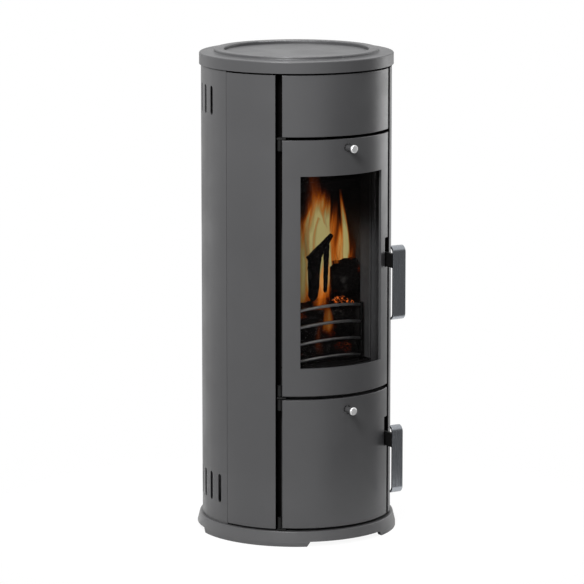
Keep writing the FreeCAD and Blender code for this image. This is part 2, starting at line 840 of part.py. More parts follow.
def air_cutters(door_high, knob_drop):
    knob_height = door_high - knob_drop
    hole_radius = STEM_RADIUS + STEM_HOLE_GAP
    hole = radial_rod(hole_radius, lip_radius, BODY_RADIUS + CUT_MARGIN, 0, knob_height)
    outer = skin_radius - CONTACT_GAP
    low = door_high - DOOR_WALL - CUT_MARGIN
    high = door_high + CUT_MARGIN
    right_port = sector(outer - AIR_PORT_DEPTH, outer, AIR_PORT_START, AIR_PORT_END, low, high)
    return [hole, right_port, mirrored(right_port)]


def fire_door_panel():
    window = front_sector(
        skin_radius - CUT_MARGIN,
        BODY_RADIUS + CUT_MARGIN,
        window_half_angle,
        fire_door_low + WINDOW_SILL,
        fire_door_high - WINDOW_HEAD,
    )
    cutters = [window, handle_notch(fire_door_low + FIRE_NOTCH_RISE)]
    shell = door_shell(fire_door_low, fire_door_high).cut(
        cutters + air_cutters(fire_door_high, FIRE_KNOB_DROP)
    )
    wall_start = glass_half_angle + arc_degrees(WINDOW_WALL_GAP, glass_inner)
    wall_end = wall_start + arc_degrees(WINDOW_WALL, glass_inner)
    wall_inner = frame_radius + WINDOW_WALL_CLEARANCE
    wall_outer = skin_radius + DOOR_SKIN / 2
    wall = sector(wall_inner, wall_outer, wall_start, wall_end, glass_low, glass_high)
    return fuse([shell, wall, mirrored(wall)])


def ash_door_panel():
    cutters = [handle_notch(ash_door_low + ASH_NOTCH_RISE)]
    return door_shell(ash_door_low, ash_door_high).cut(
        cutters + air_cutters(ash_door_high, ASH_KNOB_DROP)
    )


def door_gasket(low, high):
    outer = door_back_radius - CONTACT_GAP
    inner = outer - GASKET_THICKNESS
    margin = (DOOR_LIP_WIDTH - GASKET_WIDTH) / 2
    outer_angle = door_half_angle - arc_degrees(margin, door_back_radius)
    inner_angle = outer_angle - arc_degrees(GASKET_WIDTH, door_back_radius)
    ring = front_sector(inner, outer, outer_angle, low + margin, high - margin)
    hole = front_sector(
        inner - CUT_MARGIN,
        outer + CUT_MARGIN,
        inner_angle,
        low + margin + GASKET_WIDTH,
        high - margin - GASKET_WIDTH,
    )
    return ring.cut(hole)


# Window glass, its sealing tape and its clamps
tape_outer = skin_radius - CONTACT_GAP
tape_inner = tape_outer - GLASS_TAPE
glass_outer = tape_inner - CONTACT_GAP
glass_inner = glass_outer - GLASS_THICKNESS
glass_half_angle = window_half_angle + arc_degrees(GLASS_OVERLAP, BODY_RADIUS)
glass_low = fire_door_low + WINDOW_SILL - GLASS_OVERLAP
glass_high = fire_door_high - WINDOW_HEAD + GLASS_OVERLAP


def door_glass():
    return front_sector(glass_inner, glass_outer, glass_half_angle, glass_low, glass_high)


def glass_tape():
    ring = front_sector(tape_inner, tape_outer, glass_half_angle, glass_low, glass_high)
    hole = front_sector(
        tape_inner - CUT_MARGIN,
        tape_outer + CUT_MARGIN,
        glass_half_angle - arc_degrees(GLASS_TAPE_WIDTH, BODY_RADIUS),
        glass_low + GLASS_TAPE_WIDTH,
        glass_high - GLASS_TAPE_WIDTH,
    )
    return ring.cut(hole)


def clamp_parts(foot, tongue, angle, z):
    hole = radial_rod(CLAMP_SCREW_RADIUS + CONTACT_GAP, door_back_radius, skin_radius, angle, z)
    clamp = fuse([foot, tongue]).cut(hole)
    seat = glass_inner - CONTACT_GAP - CLAMP_THICKNESS
    top = seat - CLAMP_SCREW_HEAD_HEIGHT
    shank = radial_rod(CLAMP_SCREW_RADIUS, seat - CONTACT_GAP, skin_radius - CONTACT_GAP, angle, z)
    head = radial_rod(CLAMP_SCREW_HEAD, top, seat - CONTACT_GAP, angle, z)
    return clamp, fuse([shank, head])


def glass_clamps():
    low_radius = glass_inner - CONTACT_GAP - CLAMP_THICKNESS
    high_radius = glass_inner - CONTACT_GAP
    outer = skin_radius - CONTACT_GAP
    clamps = []
    half = arc_degrees(CLAMP_WIDTH / 2, BODY_RADIUS)
    for angle in CLAMP_END_ANGLES:
        for edge, way in ((glass_high, 1), (glass_low, -1)):
            spots = sorted(
                edge + way * step for step in (CLAMP_EDGE_GAP, CLAMP_EDGE_GAP + CLAMP_FOOT)
            )
            reach = sorted((edge - way * CLAMP_TONGUE, edge + way * CLAMP_EDGE_GAP))
            foot = sector(low_radius, outer, angle - half, angle + half, spots[0], spots[1])
            tongue = sector(low_radius, high_radius, angle - half, angle + half, reach[0], reach[1])
            clamps.append(clamp_parts(foot, tongue, angle, sum(spots) / 2))
    return clamps


# Hinges on the left: plates and pins on the frame, knuckles on the doors
def hinge_levels():
    middle = (ash_door_high + fire_door_low) / 2
    return {
        "bottom": (BASE_HEIGHT + ash_door_low) / 2,
        "middle": middle,
        "top": (fire_door_high + upper_panel_low) / 2,
    }


def hinge_plates():
    plates = []
    side = arc_degrees(KNUCKLE_RADIUS, hinge_radius)
    reach = arc_degrees(HINGE_PLATE_REACH, hinge_radius)
    for level in hinge_levels().values():
        low = level - HINGE_PLATE / 2
        high = level + HINGE_PLATE / 2
        plate = sector(
            frame_radius + CONTACT_GAP,
            hinge_radius + KNUCKLE_RADIUS,
            hinge_angle - side,
            hinge_angle + reach,
            low,
            high,
        )
        hole_radius = HINGE_PIN_RADIUS + PIN_GAP
        hole = upright(hole_radius, hinge_point, low - CUT_MARGIN, high + CUT_MARGIN)
        plates.append(plate.cut(hole))
    return plates


def hinge_pins():
    levels = hinge_levels()
    half = HINGE_PLATE / 2
    spans = [
        (levels["bottom"] - half, ash_door_low + PIN_ENGAGEMENT),
        (ash_door_high - PIN_ENGAGEMENT, fire_door_low + PIN_ENGAGEMENT),
        (fire_door_high - PIN_ENGAGEMENT, levels["top"] + half),
    ]
    return [upright(HINGE_PIN_RADIUS, hinge_point, low, high) for low, high in spans]


def knuckles(door_low, door_high):
    pieces = []
    web_half = KNUCKLE_WEB / 2
    spans = ((door_low, door_low + KNUCKLE_HEIGHT), (door_high - KNUCKLE_HEIGHT, door_high))
    for low, high in spans:
        barrel = upright(KNUCKLE_RADIUS, hinge_point, low, high)
        web = sector(
            hinge_radius - web_half,
            hinge_radius + web_half,
            hinge_angle,
            -door_half_angle,
            low,
            high,
        )
        bore_radius = HINGE_PIN_RADIUS + PIN_GAP
        bore = upright(bore_radius, hinge_point, low - CUT_MARGIN, high + CUT_MARGIN)
        pieces.append(fuse([barrel, web]).cut(bore))
    return pieces


# Lifting latches: a guided bar with two hooks, keepers on the frame, an arm and a bent grip
def arm_low(notch_low):
    return notch_low + ARM_SEAT


def hook_levels(span):
    return (span[0], span[1] - HOOK_HEIGHT)


def bolt_levels(notch_low):
    low = arm_low(notch_low)
    return (low + ARM_BOLT_EDGE, low + ARM_HEIGHT - ARM_BOLT_EDGE)


def latch_bar(notch_low, span):
    bar = sector(
        bar_inner_radius,
        bar_outer_radius,
        latch_angle - bar_half_angle,
        latch_angle + bar_half_angle,
        span[0],
        span[1],
    )
    pieces = [bar]
    for level in hook_levels(span):
        high = level + HOOK_HEIGHT
        root = bar_inner_radius + LATCH_BAR_THICKNESS / 2
        pieces.append(sector(hook_inner_radius, root, hook_low_angle, hook_high_angle, level, high))
        pieces.append(
            sector(
                hook_inner_radius,
                hook_inner_radius + HOOK_TIP_THICKNESS,
                hook_low_angle,
                hook_high_angle,
                level - HOOK_TIP,
                level,
            )
        )
    holes = [
        radial_rod(ARM_BOLT_RADIUS + CONTACT_GAP, door_back_radius, skin_radius, latch_angle, z)
        for z in bolt_levels(notch_low)
    ]
    return fuse(pieces).cut(holes)


def latch_guides(notch_low, span):
    half = bar_half_angle + arc_degrees(RUN_GAP + GUIDE_WALL, bar_inner_radius)
    slot_half = bar_half_angle + arc_degrees(RUN_GAP, bar_inner_radius)
    levels = (
        span[0] + GUIDE_END_DISTANCE,
        arm_low(notch_low) - GUIDE_ARM_GAP - GUIDE_HEIGHT,
    )
    guides = []
    for low in levels:
        high = low + GUIDE_HEIGHT
        block = sector(
            bar_inner_radius - RUN_GAP - GUIDE_WALL,
            skin_radius - CONTACT_GAP,
            latch_angle - half,
            latch_angle + half,
            low,
            high,
        )
        slot = sector(
            bar_inner_radius - RUN_GAP,
            bar_outer_radius + RUN_GAP,
            latch_angle - slot_half,
            latch_angle + slot_half,
            low - CUT_MARGIN,
            high + CUT_MARGIN,
        )
        guides.append(block.cut(slot))
    return guides


def keepers(span):
    right_limit = plan_point(door_back_radius, lip_inner_angle).x - KEEPER_SWING_GAP
    outer = frame_radius + CONTACT_GAP + KEEPER_DEPTH
    high_angle = math.degrees(math.asin(right_limit / outer))
    low_angle = high_angle - arc_degrees(KEEPER_WIDTH, outer)
    pieces = []
    for level in hook_levels(span):
        low = level - KEEPER_DROP
        shelf_high = low + KEEPER_THICKNESS
        lip_high = level - HOOK_TIP - KEEPER_CLEARANCE
        shelf = sector(
            frame_radius + CONTACT_GAP, outer, low_angle, high_angle, low, shelf_high
        )
        lip = sector(outer - KEEPER_LIP, outer, low_angle, high_angle, low, lip_high)
        pieces.append(fuse([shelf, lip]))
    return pieces


def handle_arm(notch_low):
    low = arm_low(notch_low)
    high = low + ARM_HEIGHT
    tab_inner = bar_outer_radius + CONTACT_GAP
    tab_outer = tab_inner + ARM_TAB
    right = arm_left + ARM_THICKNESS
    end_angle = math.degrees(math.asin(right / tab_outer))
    tab = sector(tab_inner, tab_outer, latch_angle - bar_half_angle, end_angle, low, high)
    root = -math.sqrt(tab_inner**2 - arm_left**2)
    blade = box(arm_left, right, grip_back, root, low, high)
    holes = [
        radial_rod(ARM_BOLT_RADIUS + CONTACT_GAP, door_back_radius, skin_radius, latch_angle, z)
        for z in bolt_levels(notch_low)
    ]
    return fuse([tab, blade]).cut(holes)


def handle_bolts(notch_low):
    seat = bar_outer_radius + CONTACT_GAP * 2 + ARM_TAB
    bolts = []
    for z in bolt_levels(notch_low):
        shank = radial_rod(ARM_BOLT_RADIUS, bar_inner_radius, seat, latch_angle, z)
        head = radial_rod(ARM_BOLT_HEAD, seat, seat + ARM_BOLT_HEAD_HEIGHT, latch_angle, z)
        bolts.append(fuse([shank, head]))
    return bolts


def grip_side(offset, low, high, x):
    # Edges of the bent strip seen from the side, at a depth of offset behind its front face.
    front = grip_back - GRIP_THICKNESS + offset
    bend = GRIP_BEND - offset
    back = front + bend
    lift = bend * math.sqrt(0.5)

    def spot(y, z):
        return FreeCAD.Vector(x, y, z)

    top = high - GRIP_BEND
    bottom = low + GRIP_BEND
    upper = Part.Arc(
        spot(back, top + bend), spot(back - lift, top + lift), spot(front, top)
    ).toShape()
    face = Part.makeLine(spot(front, top), spot(front, bottom))
    lower = Part.Arc(
        spot(front, bottom), spot(back - lift, bottom - lift), spot(back, bottom - bend)
    ).toShape()
    return [upper, face, lower]


def handle_grip(notch_low, below, length, width):
    low = arm_low(notch_low) - below
    high = low + length
    x = arm_left
    outer = grip_side(0, low, high, x)
    inner = grip_side(GRIP_THICKNESS, low, high, x)
    ends = [
        Part.makeLine(outer[2].Vertexes[1].Point, inner[2].Vertexes[1].Point),
        Part.makeLine(inner[0].Vertexes[0].Point, outer[0].Vertexes[0].Point),
    ]
    edges = Part.__sortEdges__(outer + inner + ends)
    strip = Part.Face(Part.Wire(edges)).extrude(FreeCAD.Vector(width, 0, 0))
    end_y = grip_back - GRIP_THICKNESS + GRIP_BEND
    corners = []
    for edge in strip.Edges:
        spots = [vertex.Point for vertex in edge.Vertexes]
        upright_edge = abs(spots[0].x - spots[-1].x) < EDGE_TOLERANCE
        if upright_edge and all(abs(spot.y - end_y) < EDGE_TOLERANCE for spot in spots):
            corners.append(edge)
    return strip.makeFillet(GRIP_CORNER, corners)


# Air controls: a pushed stem with a steel cap, carrying a slide under the ports of the door
bush_bore = STEM_RADIUS + RUN_GAP
bush_radius = bush_bore + BUSH_WALL
bush_front = math.sqrt(skin_radius**2 - bush_radius**2) - CONTACT_GAP
bush_back = bush_front - BUSH_LENGTH
stem_inner_end = bush_back - RUN_GAP


def air_bush(knob_height):
    outer = radial_rod(bush_radius, bush_back, bush_front, 0, knob_height)
    bore = radial_rod(bush_bore, lip_radius, BODY_RADIUS, 0, knob_height)
    return outer.cut(bore)


def knob_stem(knob_height):
    cap_seat = BODY_RADIUS + KNOB_REACH - KNOB_CAP_HEIGHT
    return radial_rod(STEM_RADIUS, stem_inner_end, cap_seat, 0, knob_height)


def knob_cap(knob_height):
    tip = BODY_RADIUS + KNOB_REACH
    cap = radial_rod(KNOB_CAP_RADIUS, tip - KNOB_CAP_HEIGHT, tip, 0, knob_height)
    rims = []
    for edge in cap.Edges:
        if isinstance(edge.Curve, Part.Circle) and abs(edge.Curve.Center.y + tip) < EDGE_TOLERANCE:
            rims.append(edge)
    return cap.makeChamfer(KNOB_CAP_BEVEL, rims)


def air_slide(door_high, knob_drop):
    high = door_high - DOOR_WALL - RUN_GAP
    low = high - AIR_SLIDE_THICKNESS
    outer = skin_radius - RUN_GAP - CONTACT_GAP
    plate = front_sector(outer - AIR_SLIDE_DEPTH, outer, AIR_SLIDE_HALF_ANGLE, low, high)
    knob_height = door_high - knob_drop
    back = stem_inner_end
    half = AIR_TAB_WIDTH / 2
    tab = box(-half, half, -back, AIR_TAB_THICKNESS - back, knob_height - STEM_RADIUS, high)
    bridge = box(-half, half, -outer + AIR_SLIDE_DEPTH / 2, AIR_TAB_THICKNESS - back, low, high)
    return fuse([plate, tab, bridge])


def build():
    fire_notch = fire_door_low + FIRE_NOTCH_RISE
    ash_notch = ash_door_low + ASH_NOTCH_RISE
    right_panel = side_panel()
    right_strip = panel_joiner_strip()
    rail = ash_pan_rail()
    clamps = glass_clamps()
    fire_span = (fire_door_low + FIRE_BAR_FOOT, fire_door_high - FIRE_BAR_HEAD)
    ash_span = (ash_door_low + ASH_BAR_FOOT, ash_door_high - ASH_BAR_HEAD)
    fire_knob = fire_door_high - FIRE_KNOB_DROP
    ash_knob = ash_door_high - ASH_KNOB_DROP
    pieces = {
        "base_plinth": [base_plinth()],
        "base_floor_plate": [base_floor_plate()],
        "front_frame": [front_frame()],
        "body_shell": [body_shell()],
        "right_side_panel": [right_panel],
        "left_side_panel": [mirrored(right_panel)],
        "rear_panel": [rear_panel()],
        "panel_joiner_strips": [right_strip, mirrored(right_strip)],
        "casing_posts": casing_posts(),
        "casing_screws": casing_screws(),
        "upper_front_panel": [upper_front_panel()],
        "upper_panel_posts": upper_panel_posts(),
        "top_plate": [top_plate()],
        "top_insert_plate": [top_insert_plate()],
        "firebox_floor": [firebox_floor()],
        "firebox_roof": [firebox_roof()],
        "grate": [grate()],
        "rear_firebrick": [wall_brick(180)],
        "rear_right_firebrick": [wall_brick(180 - WALL_BRICK_STEP)],
        "rear_left_firebrick": [wall_brick(180 + WALL_BRICK_STEP)],
        "right_firebrick": [wall_brick(180 - 2 * WALL_BRICK_STEP)],
        "left_firebrick": [wall_brick(180 + 2 * WALL_BRICK_STEP)],
        "floor_firebricks": floor_bricks(),
        "baffle_plate": [baffle_plate()],
        "log_guard": [log_guard()],
        "flue_collar": [flue_collar()],
        "ash_pan": ash_pan(),
        "ash_pan_rails": [rail, mirrored(rail)],
        "hinge_plates": hinge_plates(),
        "hinge_pins": hinge_pins(),
        "latch_keepers": keepers(fire_span) + keepers(ash_span),
        "fire_door_panel": [fire_door_panel()],
        "fire_door_glass": [door_glass()],
        "fire_door_glass_tape": [glass_tape()],
        "fire_door_glass_clamps": [clamp for clamp, screw in clamps],
        "fire_door_clamp_screws": [screw for clamp, screw in clamps],
        "fire_door_rope_seal": [door_gasket(fire_door_low, fire_door_high)],
        "fire_door_knuckles": knuckles(fire_door_low, fire_door_high),
        "fire_door_latch_guides": latch_guides(fire_notch, fire_span),
        "fire_door_air_bush": [air_bush(fire_knob)],
        "fire_door_latch_bar": [latch_bar(fire_notch, fire_span)],
        "fire_door_handle_arm": [handle_arm(fire_notch)],
        "fire_door_handle_bolts": handle_bolts(fire_notch),
        "fire_door_handle_grip": [
            handle_grip(fire_notch, FIRE_GRIP_BELOW, FIRE_GRIP_LENGTH, FIRE_GRIP_WIDTH)
        ],
        "fire_door_knob_stem": [knob_stem(fire_knob)],
        "fire_door_knob_cap": [knob_cap(fire_knob)],
        "fire_door_air_slide": [air_slide(fire_door_high, FIRE_KNOB_DROP)],
        "ash_door_panel": [ash_door_panel()],
        "ash_door_rope_seal": [door_gasket(ash_door_low, ash_door_high)],
        "ash_door_knuckles": knuckles(ash_door_low, ash_door_high),
        "ash_door_latch_guides": latch_guides(ash_notch, ash_span),
        "ash_door_air_bush": [air_bush(ash_knob)],
        "ash_door_latch_bar": [latch_bar(ash_notch, ash_span)],
        "ash_door_handle_arm": [handle_arm(ash_notch)],
        "ash_door_handle_bolts": handle_bolts(ash_notch),
        "ash_door_handle_grip": [
            handle_grip(ash_notch, ASH_GRIP_BELOW, ASH_GRIP_LENGTH, ASH_GRIP_WIDTH)
        ],
        "ash_door_knob_stem": [knob_stem(ash_knob)],
        "ash_door_knob_cap": [knob_cap(ash_knob)],
        "ash_door_air_slide": [air_slide(ash_door_high, ASH_KNOB_DROP)],
    }
    os.makedirs("parts", exist_ok=True)
    for name, shapes in pieces.items():
        export(name, shapes)


build()
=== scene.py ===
import json
import math
import random

import bmesh
import bpy
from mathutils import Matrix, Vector, noise

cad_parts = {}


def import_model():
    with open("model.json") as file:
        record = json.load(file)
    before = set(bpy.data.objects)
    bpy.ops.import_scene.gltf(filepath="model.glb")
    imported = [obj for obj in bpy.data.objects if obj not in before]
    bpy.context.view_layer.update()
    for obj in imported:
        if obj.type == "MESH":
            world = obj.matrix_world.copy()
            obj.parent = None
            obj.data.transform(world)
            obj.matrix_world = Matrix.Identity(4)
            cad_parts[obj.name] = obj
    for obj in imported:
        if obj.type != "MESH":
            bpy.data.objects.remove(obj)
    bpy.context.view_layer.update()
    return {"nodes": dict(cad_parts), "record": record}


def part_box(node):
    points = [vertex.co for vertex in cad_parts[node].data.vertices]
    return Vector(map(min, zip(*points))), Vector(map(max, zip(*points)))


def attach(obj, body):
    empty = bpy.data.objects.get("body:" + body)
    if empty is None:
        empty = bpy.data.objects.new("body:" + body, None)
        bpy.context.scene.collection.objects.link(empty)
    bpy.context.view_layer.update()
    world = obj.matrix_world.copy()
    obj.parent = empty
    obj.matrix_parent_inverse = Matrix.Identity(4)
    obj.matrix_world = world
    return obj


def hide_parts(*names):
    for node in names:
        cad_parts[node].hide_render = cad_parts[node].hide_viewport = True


# Looks of a round workshop stove with a fire burning behind its window.
# Metres, in the frame of the solids: +Z up, the doors face -Y.

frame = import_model()

# Camera of the photograph
IMAGE_PIXELS = 584
FOCAL_PIXELS = 3621.0
SENSOR_MM = 36.0
CAMERA_DISTANCE = 8.1088
CAMERA_HEIGHT = 1.9777
CAMERA_AZIMUTH = math.radians(32.2)
CAMERA_PITCH = math.radians(10.058)
CAMERA_TURN = 0.00122

# Studio
FLOOR_REACH = 0.80
FLOOR_CLEAR = 0.40
FLOOR_GLOW = 0.93
FLOOR_TONE = 0.09
AMBIENT_LEVEL = 0.42
DARK_WALL_LEVEL = 0.20
DARK_WALL_TURN = math.radians(45.0)
DARK_WALL_DROP = -0.15
DARK_WALL_START = 0.62
DARK_WALL_FULL = 0.92
STOVE_MIDDLE = Vector((0.0, 0.0, 0.6))
STOVE_HEAD = Vector((0.0, 0.0, 0.95))
UP = Vector((0.0, 0.0, 1.0))

# Each lamp: distance from the stove, degrees round from the front, height, target, size, watts
LAMPS = {
    "key": (2.5, -51.0, 2.6, STOVE_MIDDLE, 1.0, 90.0),
    "top": (0.6, 150.0, 3.6, STOVE_MIDDLE, 1.6, 62.0),
    "right_wall": (2.5, 94.0, 0.95, STOVE_HEAD, 1.3, 12.0),
    "left_wall": (2.6, -150.0, 0.9, STOVE_HEAD, 1.6, 3.0),
}

# Door seals, on the backs of the doors
SEAL_RADIUS = 0.1871
SEAL_WIDTH = 0.008
SEAL_THICKNESS = 0.0056
SEAL_CORNER = 0.012
SEAL_LAY = 0.016
SEAL_STRANDS = 6
TAPE_RADIUS = 0.2088
TAPE_WIDTH = 0.008
TAPE_THICKNESS = 0.0021
TAPE_CORNER = 0.004
TAPE_STRANDS = 0
PATH_STEP = 0.003
BAND_SIDES = 24
BAND_SQUARENESS = 0.7
STRAND_DEPTH = 0.06

# Heads of the screws
CASING_HEAD_RADIUS = 0.005
CASING_HEAD_HEIGHT = 0.0024
CLAMP_HEAD_RADIUS = 0.003
CLAMP_HEAD_HEIGHT = 0.002
SOCKET_SHARE = 0.42
HEAD_SIDES = 36

# Painted shade and soot: their dark tone and specular level, and where the painted shade at the head starts
# and how far it takes to fade in
SHADE_AND_SOOT_TONE = (0.004, 0.0035, 0.0035)
DARK_SPECULAR = 0.04
PAINTED_SHADE_FOOT = 0.63
PAINTED_SHADE_HEAD = 0.75
# A darker hearth at the foot of the firebox
HEARTH_DARK_LOW = 0.405
HEARTH_DARK_HIGH = 0.425
DOOR_INSIDE = 0.2098
DOOR_FADE = 0.0013
# Painted shade in the gaps beside the doors, outside the frame's face
FRAME_FACE_HALF = 0.122
FRAME_FADE = 0.004
GUARD_CLEAN_HALF = 0.080
GUARD_FADE = 0.006
SILL_HEIGHT = 0.4004
SILL_FULL = 0.0008
SILL_CLEAR = 0.0025

# Fire: across runs to the right and depth towards the viewer, seen from the photograph's side
FIRE_TURN = CAMERA_AZIMUTH
GRATE_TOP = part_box("grate")[1].z
EMBER_COUNT = 90
EMBER_BED_RADIUS = 0.090
EMBER_SIZES = (0.008, 0.019)
PILE_PLACE = (0.106, 0.050, 0.518)
PILE_COUNT = 16
PILE_RADIUS = 0.030
PILE_SIZES = (0.005, 0.009)
LOG_SIDES = 64
LOG_STEP = 0.003
FLAME_COLUMNS = 16
FLAME_ROWS = 48
FLAME_HOLLOW = 0.35
FIRE_SEED = 11


def plan_point(radius, angle, z):
    return Vector((radius * math.sin(angle), -radius * math.cos(angle), z))


def fire_point(across, depth, z):
    x = across * math.cos(FIRE_TURN) - depth * math.sin(FIRE_TURN)
    y = -across * math.sin(FIRE_TURN) - depth * math.cos(FIRE_TURN)
    return Vector((x, y, z))


class Recipe:
    """A material built from nodes round one principled shader, on the object's own coordinates."""

    def __init__(self, name, coordinates="Object"):
        self.material = bpy.data.materials.new(name)
        self.material.use_nodes = True
        self.tree = self.material.node_tree
        self.shader = self.tree.nodes["Principled BSDF"]
        self.place = self.add("ShaderNodeTexCoord").outputs[coordinates]

    def add(self, kind, **settings):
        made = self.tree.nodes.new(kind)
        for key, value in settings.items():
            setattr(made, key, value)
        return made

    def join(self, source, target):
        self.tree.links.new(source, target)

    def set(self, **values):
        for key, value in values.items():
            self.shader.inputs[key.replace("_", " ")].default_value = value

    def drive(self, name, source):
        self.join(source, self.shader.inputs[name])

    def stretched(self, stretch):
        mapping = self.add("ShaderNodeMapping")
        mapping.inputs["Scale"].default_value = stretch
        self.join(self.place, mapping.inputs["Vector"])
        return mapping.outputs["Vector"]

    def axes(self, source=None):
        made = self.add("ShaderNodeSeparateXYZ")
        self.join(self.place if source is None else source, made.inputs["Vector"])
        return made.outputs

    def noise(self, scale, detail=3.0, stretch=None, distortion=0.0):
        made = self.add("ShaderNodeTexNoise")
        made.inputs["Scale"].default_value = scale
        made.inputs["Detail"].default_value = detail
        made.inputs["Distortion"].default_value = distortion
        self.join(self.stretched(stretch) if stretch else self.place, made.inputs["Vector"])
        return made.outputs["Fac"]

    def cells(self, scale, feature="F1"):
        made = self.add("ShaderNodeTexVoronoi", feature=feature)
        made.inputs["Scale"].default_value = scale
        self.join(self.place, made.inputs["Vector"])
        return made.outputs["Distance"]

    def ramp(self, source, *stops):
        made = self.add("ShaderNodeValToRGB")
        elements = made.color_ramp.elements
        while len(elements) < len(stops):
            elements.new(0.5)
        for element, (position, colour) in zip(elements, stops):
            element.position = position
            element.color = (*colour, 1.0)
        self.join(source, made.inputs["Fac"])
        return made.outputs["Color"]

    def level(self, source, low, high, start=0.0, end=1.0):
        made = self.add("ShaderNodeMapRange", interpolation_type="SMOOTHSTEP")
        for name, value in zip(("From Min", "From Max", "To Min", "To Max"), (start, end, low, high)):
            made.inputs[name].default_value = value
        self.join(source, made.inputs["Value"])
        return made.outputs["Result"]

    def math(self, operation, first, second):
        made = self.add("ShaderNodeMath", operation=operation)
        for source, target in zip((first, second), made.inputs):
            if isinstance(source, (int, float)):
                target.default_value = source
            else:
                self.join(source, target)
        return made.outputs["Value"]

    def mix(self, factor, first, second):
        made = self.add("ShaderNodeMix", data_type="RGBA")
        sockets = [made.inputs["Factor"], made.inputs[6], made.inputs[7]]
        for source, target in zip((factor, first, second), sockets):
            if isinstance(source, (int, float)):
                target.default_value = source
            elif isinstance(source, tuple):
                target.default_value = (*source, 1.0)
            else:
                self.join(source, target)
        return made.outputs[2]

    def soft_edges(self, radius):
        made = self.add("ShaderNodeBevel", samples=4)
        made.inputs["Radius"].default_value = radius
        return made.outputs["Normal"]

    def edge_wear(self, radius):
        rounded = self.soft_edges(radius)
        plain = self.add("ShaderNodeNewGeometry").outputs["Normal"]
        turned = self.add("ShaderNodeVectorMath", operation="DOT_PRODUCT")
        self.join(rounded, turned.inputs[0])
        self.join(plain, turned.inputs[1])
        return self.level(turned.outputs["Value"], 1.0, 0.0, 0.80, 0.995)

    def bump(self, height, strength, distance, normal=None):
        made = self.add("ShaderNodeBump")
        made.inputs["Strength"].default_value = strength
        made.inputs["Distance"].default_value = distance
        self.join(height, made.inputs["Height"])
        if normal is not None:
            self.join(normal, made.inputs["Normal"])
        self.join(made.outputs["Normal"], self.shader.inputs["Normal"])


# Materials
def heatproof_paint(name, tone, grain_scale, grain_depth, roughness, with_door_shade):
    """Fine-grained paint; where with_door_shade is set, painted shade blackens it inside the fire door, round
    its window's head.
    """
    recipe = Recipe(name)
    low = tuple(channel * 0.94 for channel in tone)
    high = tuple(channel * 1.06 for channel in tone)
    worn = tuple(channel * 1.5 for channel in tone)
    cloudy = recipe.ramp(recipe.noise(7.0, 4.0), (0.3, low), (0.7, high))
    speckle = recipe.noise(grain_scale, 3.0)
    speckled = recipe.mix(0.10, cloudy, recipe.ramp(speckle, (0.35, low), (0.65, high)))
    wear = recipe.math("MULTIPLY", recipe.edge_wear(0.0012), recipe.level(recipe.noise(60.0), 0.1, 0.6))
    painted = recipe.mix(wear, speckled, worn)
    # Painted shade: the walls inside the fire door go black towards the window's head, with a duller specular
    # level
    if with_door_shade:
        axes = recipe.axes()
        across = recipe.math("POWER", axes["X"], 2.0)
        deep = recipe.math("POWER", axes["Y"], 2.0)
        radius = recipe.math("SQRT", recipe.math("ADD", across, deep), 0.0)
        inside = recipe.level(radius, 1.0, 0.0, DOOR_INSIDE - DOOR_FADE, DOOR_INSIDE)
        head = recipe.level(axes["Z"], 0.0, 1.0, PAINTED_SHADE_FOOT, PAINTED_SHADE_HEAD)
        darkening = recipe.math("MULTIPLY", inside, head)
        painted = recipe.mix(darkening, painted, SHADE_AND_SOOT_TONE)
        recipe.drive("Specular IOR Level", recipe.level(darkening, 0.5, DARK_SPECULAR))
    recipe.drive("Base Color", painted)
    smudged = recipe.level(recipe.noise(11.0, 5.0), roughness - 0.05, roughness + 0.06, 0.3, 0.7)
    recipe.drive("Roughness", smudged)
    recipe.bump(speckle, 0.35, grain_depth, recipe.soft_edges(0.0008))
    return recipe.material


def black_steel():
    recipe = Recipe("black_steel")
    tone = recipe.ramp(recipe.noise(35.0, 5.0), (0.3, (0.004, 0.004, 0.004)), (0.7, (0.008, 0.008, 0.008)))
    wear = recipe.math("MULTIPLY", recipe.edge_wear(0.0008), 0.25)
    recipe.set(Specular_IOR_Level=0.20)
    recipe.drive("Base Color", recipe.mix(wear, tone, (0.05, 0.05, 0.05)))
    recipe.drive("Roughness", recipe.level(recipe.noise(25.0, 4.0), 0.42, 0.58, 0.3, 0.7))
    recipe.bump(recipe.noise(1400.0, 2.0), 0.3, 0.0001, recipe.soft_edges(0.0006))
    return recipe.material


def sooted_iron():
    recipe = Recipe("cast_black")
    tone = recipe.ramp(
        recipe.noise(40.0, 6.0),
        (0.30, (0.008, 0.007, 0.007)),
        (0.55, (0.022, 0.020, 0.019)),
        (0.75, (0.075, 0.070, 0.066)),
    )
    recipe.drive("Base Color", tone)
    recipe.drive("Roughness", recipe.level(recipe.noise(50.0), 0.7, 0.95))
    recipe.bump(recipe.noise(420.0, 5.0), 0.6, 0.0006, recipe.soft_edges(0.0010))
    return recipe.material


def plated_steel():
    recipe = Recipe("plated_steel")
    spangle = recipe.cells(160.0)
    tone = recipe.ramp(spangle, (0.1, (0.34, 0.34, 0.35)), (0.6, (0.50, 0.50, 0.51)))
    stain = recipe.level(recipe.noise(18.0, 5.0), 0.0, 0.5, 0.45, 0.75)
    recipe.drive("Base Color", recipe.mix(stain, tone, (0.20, 0.19, 0.18)))
    recipe.drive("Roughness", recipe.level(recipe.noise(30.0, 4.0), 0.28, 0.48, 0.3, 0.7))
    recipe.set(Metallic=1.0)
    recipe.bump(recipe.noise(500.0), 0.15, 0.0001, recipe.soft_edges(0.0005))
    return recipe.material


